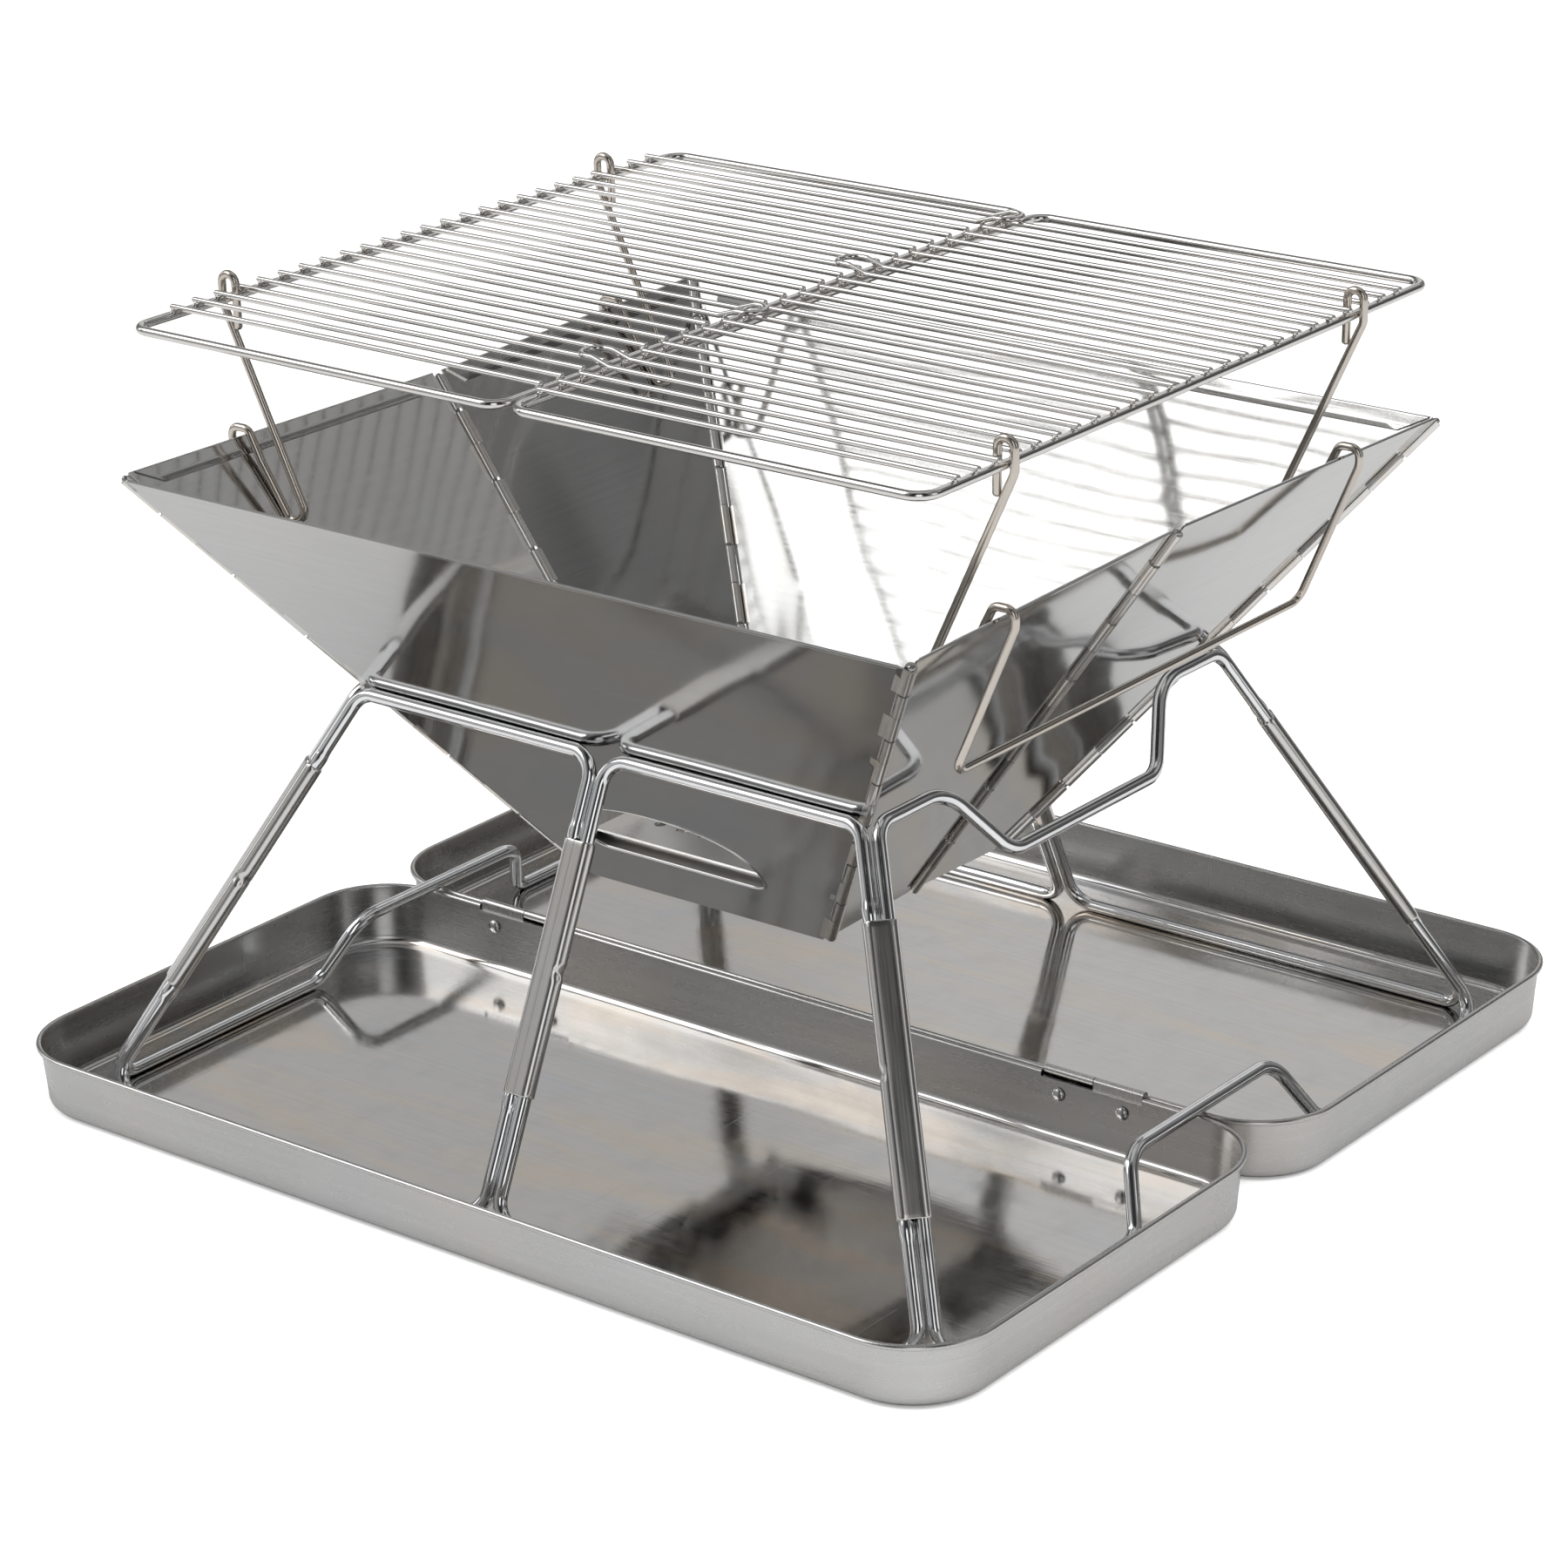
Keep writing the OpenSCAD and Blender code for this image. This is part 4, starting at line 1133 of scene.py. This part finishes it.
def sleeve(place, low, high, seed):
    """Sheet round two wires, with soft ends, a nick and a seam groove in one flat face.

    low and high hold the two wire centres at each end."""
    first, second = low
    axis = unit(high[0] - first)
    across = (second - first) - axis * ((second - first) @ axis)
    ex = unit(across)
    ey = np.cross(axis, ex)
    gap = float(np.linalg.norm(across))
    length = float(np.linalg.norm(high[0] - first))
    outer = sleeve_section(SLEEVE_OUTER, gap, SEAM_STEP)
    inner = sleeve_section(SLEEVE_INNER, gap, 0)
    stations = sleeve_stations(length)
    ripple = waves(seed, 30)
    verts, wrap = [], []

    def put(x, y, z):
        verts.append(first + ex * x + ey * y + axis * z)
        wrap.append((z, x, y))

    for z in stations:
        end = min(z, length - z)
        shrink = END_SHRINK * (1 - end / END_SOFT) ** 2 if end < END_SOFT else 0.0
        from_nick = abs(z - length * NICK_AT)
        for x, y, which in outer:
            centre = {-1: 0, 0: x, 1: gap}[which]
            dx = x - centre
            reach = math.hypot(dx, y)
            scale = (reach - shrink) / reach
            px, py = centre + dx * scale, y * scale
            if which < 0 and dx < -1.6 and from_nick < NICK_HALF:
                px += NICK_DEPTH * (1 - from_nick / NICK_HALF)
            if which == 0:
                py += 0.02 * float(ripple(z, x))
            put(px, py, z)
    for z in reversed(stations):
        for x, y, _ in inner:
            put(x, y, z)
    piece = Piece()
    piece.add(verts, skin(2 * len(stations), len(outer), closed=True), wrap)
    piece.build(f"{place}_leg_sleeve", f"sleeve_{place}", STEELS["sleeve"], angle=26)


def sleeve_ends(sx, sy, z):
    if sx == 0:
        return mid_leg(1, sy, z), mid_leg(-1, sy, z)
    return half_leg(sx, sy, z), side_leg(sx, sy, z)


# place, x side (0 is the middle), y side, seed
SLEEVES = (
    ("front_left", -1, -1, 201), ("front_middle", 0, -1, 202), ("front_right", 1, -1, 203),
    ("rear_right", 1, 1, 204), ("rear_middle", 0, 1, 205), ("rear_left", -1, 1, 206),
)
for place, sx, sy, seed in SLEEVES:
    sleeve(place, sleeve_ends(sx, sy, SLEEVE_Z0), sleeve_ends(sx, sy, SLEEVE_Z1), seed)

# ------------------------------------------------------------------ brackets
BRACKET_R, RAIL_R = BRACKET_D / 2, RAIL_D / 2
EYE_R = RAIL_R + 0.05 + BRACKET_R           # wire centre round the grate rail
HOOK_Z = BOX_TOP + BRACKET_R + 2.25         # wire centre over the firebox edge


def wall_x(z, y):
    """Half width of the firebox side at height z, y from the middle."""
    return (z - APEX_Z) * (MID_RUN + (CORNER_RUN_X - MID_RUN) * abs(y)
                           / (CORNER_RUN_Y * (z - APEX_Z)))


def bracket_leg(sx, sy):
    """One leg from its free end: (point, bend radius)."""
    y = sy * BRACKET_Y - sx * BAR_PITCH / 4
    edge_x = wall_x(BOX_TOP, y)
    # x, z, bend radius
    stations = [
        # eye over the rail
        (GRATE_X - EYE_R - 0.4, GRATE_Z - 13.5, 0),
        (GRATE_X - EYE_R, GRATE_Z + 10, EYE_R - 0.02),
        (GRATE_X + EYE_R, GRATE_Z + 10, EYE_R - 0.02),
        (GRATE_X + EYE_R, GRATE_Z - 3, 6),
        # down inside the firebox, then up to its edge
        (164.5, 250.5, 4.2), (wall_x(252, y) - 8.0, 246, 4.2), (wall_x(270, y) - 5.2, 270, 8),
        # hook over the edge and down the outside
        (edge_x - 5.0, HOOK_Z, 4), (edge_x + 4.6, HOOK_Z, 4),
        (edge_x + 4.6, BOX_TOP - 3, 8), (177.5, 212, 6),
    ]
    return [(vec(sx * x, y, z), bend) for x, z, bend in stations]


def bracket(place, sx):
    points, bends = zip(*(bracket_leg(sx, -1) + bracket_leg(sx, 1)[::-1]))
    piece = Piece()
    piece.add(*tube(refine(wire_path(points, bends), 12), BRACKET_R, sides=22, dome=0.8))
    piece.build(f"{place}_bracket_wire", f"bracket_{place}", STEELS["bracket"])


for row in SIDES:
    bracket(*row)

# ------------------------------------------------------------------ grates
INNER_RAIL_X = 3.0
BAR_Z = GRATE_Z + RAIL_R + BAR_D / 2 + 0.02
BAR_OVERHANG = 2.4         # bar end past the outer rail
LOOP_RISE = 2.8            # loop tip above the bars
LOOPS = {1: (3, 16), -1: (9, 23)}   # per side: first bar of each pair joined by a loop


def bar_y(sx, i):
    return (i - (BARS - 1) / 2) * BAR_PITCH - sx * BAR_PITCH / 4


def sagged(path, bow, phase):
    """Bow a bar by a few tenths: sideways, S-shaped sideways, and up or down."""
    result = path.copy()
    t = np.clip((np.abs(path[:, 0]) - 10) / (GRATE_X - 20), 0, 1)
    arch = np.sin(math.pi * t)
    result[:, 1] += bow[0] * arch + bow[1] * np.sin(2 * math.pi * t + phase) * arch
    result[:, 2] += bow[2] * arch
    return result


def grate_frame(place, sx):
    corners = [vec(sx * x, y, GRATE_Z) for x, y in (
        (INNER_RAIL_X, -GRATE_Y), (GRATE_X, -GRATE_Y), (GRATE_X, GRATE_Y),
        (INNER_RAIL_X, GRATE_Y))]
    path = refine(wire_path(corners, [9] * 4, closed=True, step=5.0), 14, closed=True)
    piece = Piece()
    piece.add(*tube(path, RAIL_R, sides=22, closed=True))
    piece.build(f"grate_{place}_rail_wire", f"grate_{place}_frame", STEELS["grate"])


def grate_bars(place, sx, seed):
    rng = np.random.default_rng(seed)
    piece = Piece()
    outer_x = sx * (GRATE_X + BAR_OVERHANG)

    def add_bar(path):
        piece.add(*tube(path, BAR_D / 2, sides=16, dome=0.9))

    looped = {i for first in LOOPS[sx] for i in (first, first + 1)}
    for i in range(BARS):
        if i in looped:
            continue
        y = bar_y(sx, i)
        path = refine(np.array([vec(outer_x, y, BAR_Z), vec(sx * 1.2, y, BAR_Z)]), 9)
        bow = rng.uniform(-0.28, 0.28, 3)
        add_bar(sagged(path, bow, phase=rng.uniform(0, 6)))
    # paired bars whose loop reaches across x = 0 over the other grate
    for first in LOOPS[sx]:
        # x, rise, bend radius
        half = [(outer_x, 0, 0), (sx * 6, 0, 5), (-sx * 3, LOOP_RISE, 5),
                (-sx * 12, LOOP_RISE, 6.3)]
        stations = [(vec(x, bar_y(sx, i), BAR_Z + rise), bend)
                    for i, row in ((first, half), (first + 1, half[::-1]))
                    for x, rise, bend in row]
        add_bar(refine(wire_path(*zip(*stations), step=7.0), 9))
    # a weld nugget and a spatter where each bar crosses the rails
    for i in range(BARS):
        y = bar_y(sx, i)
        for x in (sx * INNER_RAIL_X, sx * GRATE_X):
            size = rng.uniform(0.85, 1.15, 3)
            centre = vec(x + rng.uniform(-0.3, 0.3), y + rng.uniform(-0.2, 0.2),
                         GRATE_Z + RAIL_R + 0.25)
            piece.add(*nugget(centre, size * (1.5, 1.75, 0.75)))
            centre = vec(x + sx * rng.uniform(-1.2, 1.2),
                         y + rng.choice([-1, 1]) * rng.uniform(1.1, 1.5),
                         GRATE_Z + RAIL_R + 0.05)
            piece.add(*nugget(centre, (0.6, 0.65, 0.5), around=8, rows=5))
    piece.build(f"grate_{place}_bar_wires", f"grate_{place}_bars", STEELS["grate"])


for (place, sx), seed in zip(SIDES, (301, 302)):
    grate_frame(place, sx)
    grate_bars(place, sx, seed)

# every CAD node gets the steel of its slot
for node_name, cad_obj in frame["nodes"].items():
    cad_obj.data.materials.clear()
    cad_obj.data.materials.append(STEELS.get(SLOT[node_name], STEELS["plate"]))


# ------------------------------------------------------------------ floor (metres)
def floor_material():
    """Pale floor, darker in reflections and lifted a little for the camera."""
    material = bpy.data.materials.new("pale_floor")
    material.use_nodes = True
    g = Graph(material.node_tree)
    output = g.new("ShaderNodeOutputMaterial")
    rays = g.new("ShaderNodeLightPath").outputs
    color = g.mix(rays["Is Glossy Ray"], (0.93, 0.93, 0.93), (0.54, 0.54, 0.54))
    diffuse = g.new("ShaderNodeBsdfDiffuse", {"Color": color})
    lift = g.math("MULTIPLY", rays["Is Camera Ray"], 0.28)
    glow = g.new("ShaderNodeEmission", {"Color": (1.0, 1.0, 1.0, 1.0), "Strength": lift})
    both = g.new("ShaderNodeAddShader", {0: diffuse.outputs[0], 1: glow.outputs[0]})
    g.put(output, "Surface", both.outputs[0])
    return material


def build_floor(half=30.0):
    mesh = bpy.data.meshes.new("floor")
    mesh.from_pydata([(-half, -half, 0), (half, -half, 0), (half, half, 0), (-half, half, 0)],
                     [], [(0, 1, 2, 3)])
    floor = bpy.data.objects.new("floor", mesh)
    bpy.context.scene.collection.objects.link(floor)
    floor.location.z = -0.0005
    mesh.materials.append(floor_material())


build_floor()

# ------------------------------------------------------------------ world
ROOM_LIGHT, OVERHEAD_LIGHT = 0.20, 0.25
# cards painted over the room in order: brightness, bearing from and to (from +X toward +Y),
# height from and to, soft edge (angles in degrees)
CARDS = (
    (0.03, -85, -20, -20, 62, 14),      # dark side of the room behind the camera
    (1.10, -61, -44, -4, 38, 6),        # tall lamp behind the camera
    (0.68, 112, 128, 7, 28.5, 3),       # bright sweep behind the trays
    (0.56, 129, 142, 7, 28.5, 3),       # its shaded half
    (0.05, 122, 152, 35, 49, 4),        # dark gap above the sweep
    (0.39, 167, 188, 43, 62, 5),        # ceiling bounce, left
    (2.65, -168, -120, 30, 60, 4),      # softbox, front left
    (0.43, -146, -110, 6, 24, 4),       # wall under the softbox
    (1.60, -176, -164, 8, 34, 4),       # narrow strip on the left
    (0.40, 40, 57, 28, 43, 4),          # grey wall, back right
    (0.20, 58, 70, 24, 33, 3),          # darker corner, back right
    (0.08, 24, 64, 0, 25, 4),           # dark foot of that wall
    (0.66, 86, 113, 33, 52, 5),         # pale reflector behind
    (0.90, 2, 20, 8, 30, 5),            # reflector on the right
)


def build_world():
    """Studio seen by the steel in reflections; the camera sees plain white."""
    world = bpy.data.worlds.new("studio")
    bpy.context.scene.world = world
    world.use_nodes = True
    g = Graph(world.node_tree)
    output = g.new("ShaderNodeOutputWorld")
    direction = g.new("ShaderNodeTexCoord").outputs["Generated"]
    x, y, z = g.new("ShaderNodeSeparateXYZ", {0: direction}).outputs
    height = g.math("ARCSINE", z)

    def edge(value, flat, soft):
        """One inside flat degrees, falling smoothly to nought over soft degrees."""
        return g.span(value, source=(math.radians(flat), math.radians(flat + soft)),
                      to=(1.0, 0.0), interpolation_type="SMOOTHSTEP")

    overhead = edge(g.math("ABSOLUTE", g.math("SUBTRACT", height, math.pi / 2)), flat=12, soft=30)
    light = g.math("ADD", ROOM_LIGHT, g.math("MULTIPLY", overhead, OVERHEAD_LIGHT))
    for value, az0, az1, el0, el1, soft in CARDS:
        bearing = math.radians((az0 + az1) / 2)
        cos, sin = math.cos(bearing), math.sin(bearing)
        aside = g.math("SUBTRACT", g.math("MULTIPLY", y, cos), g.math("MULTIPLY", x, sin))
        ahead = g.math("ADD", g.math("MULTIPLY", x, cos), g.math("MULTIPLY", y, sin))
        in_width = edge(g.math("ABSOLUTE", g.math("ARCTAN2", aside, ahead)),
                        (az1 - az0) / 2, soft)
        off_height = g.math("SUBTRACT", height, math.radians((el0 + el1) / 2))
        in_height = edge(g.math("ABSOLUTE", off_height), (el1 - el0) / 2, soft)
        card = g.math("MULTIPLY", in_width, in_height)
        light = g.math("ADD", g.math("MULTIPLY", light, g.math("SUBTRACT", 1.0, card)),
                       g.math("MULTIPLY", card, value))
    rays = g.new("ShaderNodeLightPath").outputs
    color = g.mix(1.0, (1, 1, 1), g.math("MULTIPLY", light, 1.0), blend="MULTIPLY")
    studio = g.new("ShaderNodeBackground", {"Color": color})
    white = g.new("ShaderNodeBackground", {"Color": (1, 1, 1, 1), "Strength": 1.0})
    chosen = g.new("ShaderNodeMixShader", {0: rays["Is Camera Ray"], 1: studio.outputs[0],
                                           2: white.outputs[0]})
    g.put(output, "Surface", chosen.outputs[0])


build_world()


# ------------------------------------------------------------------ lights (metres, watts)
def area_light(name, direction, distance, size, power):
    """Area light aimed at the grill, unseen by the camera and in reflections."""
    light = bpy.data.lights.new(name, "AREA")
    light.shape = "RECTANGLE"
    light.size, light.size_y = size
    light.energy = power
    obj = bpy.data.objects.new(name, light)
    bpy.context.scene.collection.objects.link(obj)
    toward = Vector(tuple(unit(direction)))
    obj.location = Vector((0, 0, 0.15)) + toward * distance
    obj.rotation_euler = (-toward).to_track_quat("-Z", "Y").to_euler()
    obj.visible_glossy = False
    obj.visible_camera = False


area_light("key_softbox", direction=(-0.578, -0.602, 0.551), distance=2.2, size=(1.5, 1.3),
           power=14.0)
area_light("top_fill", direction=(0.40, 0.0, 1.0), distance=3.2, size=(4.0, 4.0), power=170.0)

# ------------------------------------------------------------------ camera (metres)
CAMERA_PLACE = (1.1824346, -1.5017417, 0.8706394)
CAMERA_RIGHT = (0.7889720146535215, 0.6140972848342712, -0.020191207312574757)
CAMERA_UP = (-0.20767291086846504, 0.2974509781149236, 0.9318770722095773)
CAMERA_BACK = (0.578269074207658, -0.7310317642740644, 0.36221186816194584)


def build_camera():
    camera = bpy.data.cameras.new("camera")
    camera.sensor_width = 36
    camera.sensor_fit = "HORIZONTAL"
    camera.lens = 109.629
    camera.clip_end = 100
    obj = bpy.data.objects.new("camera", camera)
    scene = bpy.context.scene
    scene.collection.objects.link(obj)
    turn = Matrix((CAMERA_RIGHT, CAMERA_UP, CAMERA_BACK)).transposed()
    obj.matrix_world = Matrix.Translation(CAMERA_PLACE) @ turn.to_4x4()
    scene.camera = obj
    scene.view_settings.view_transform = "Standard"
    scene.view_settings.look = "None"


build_camera()
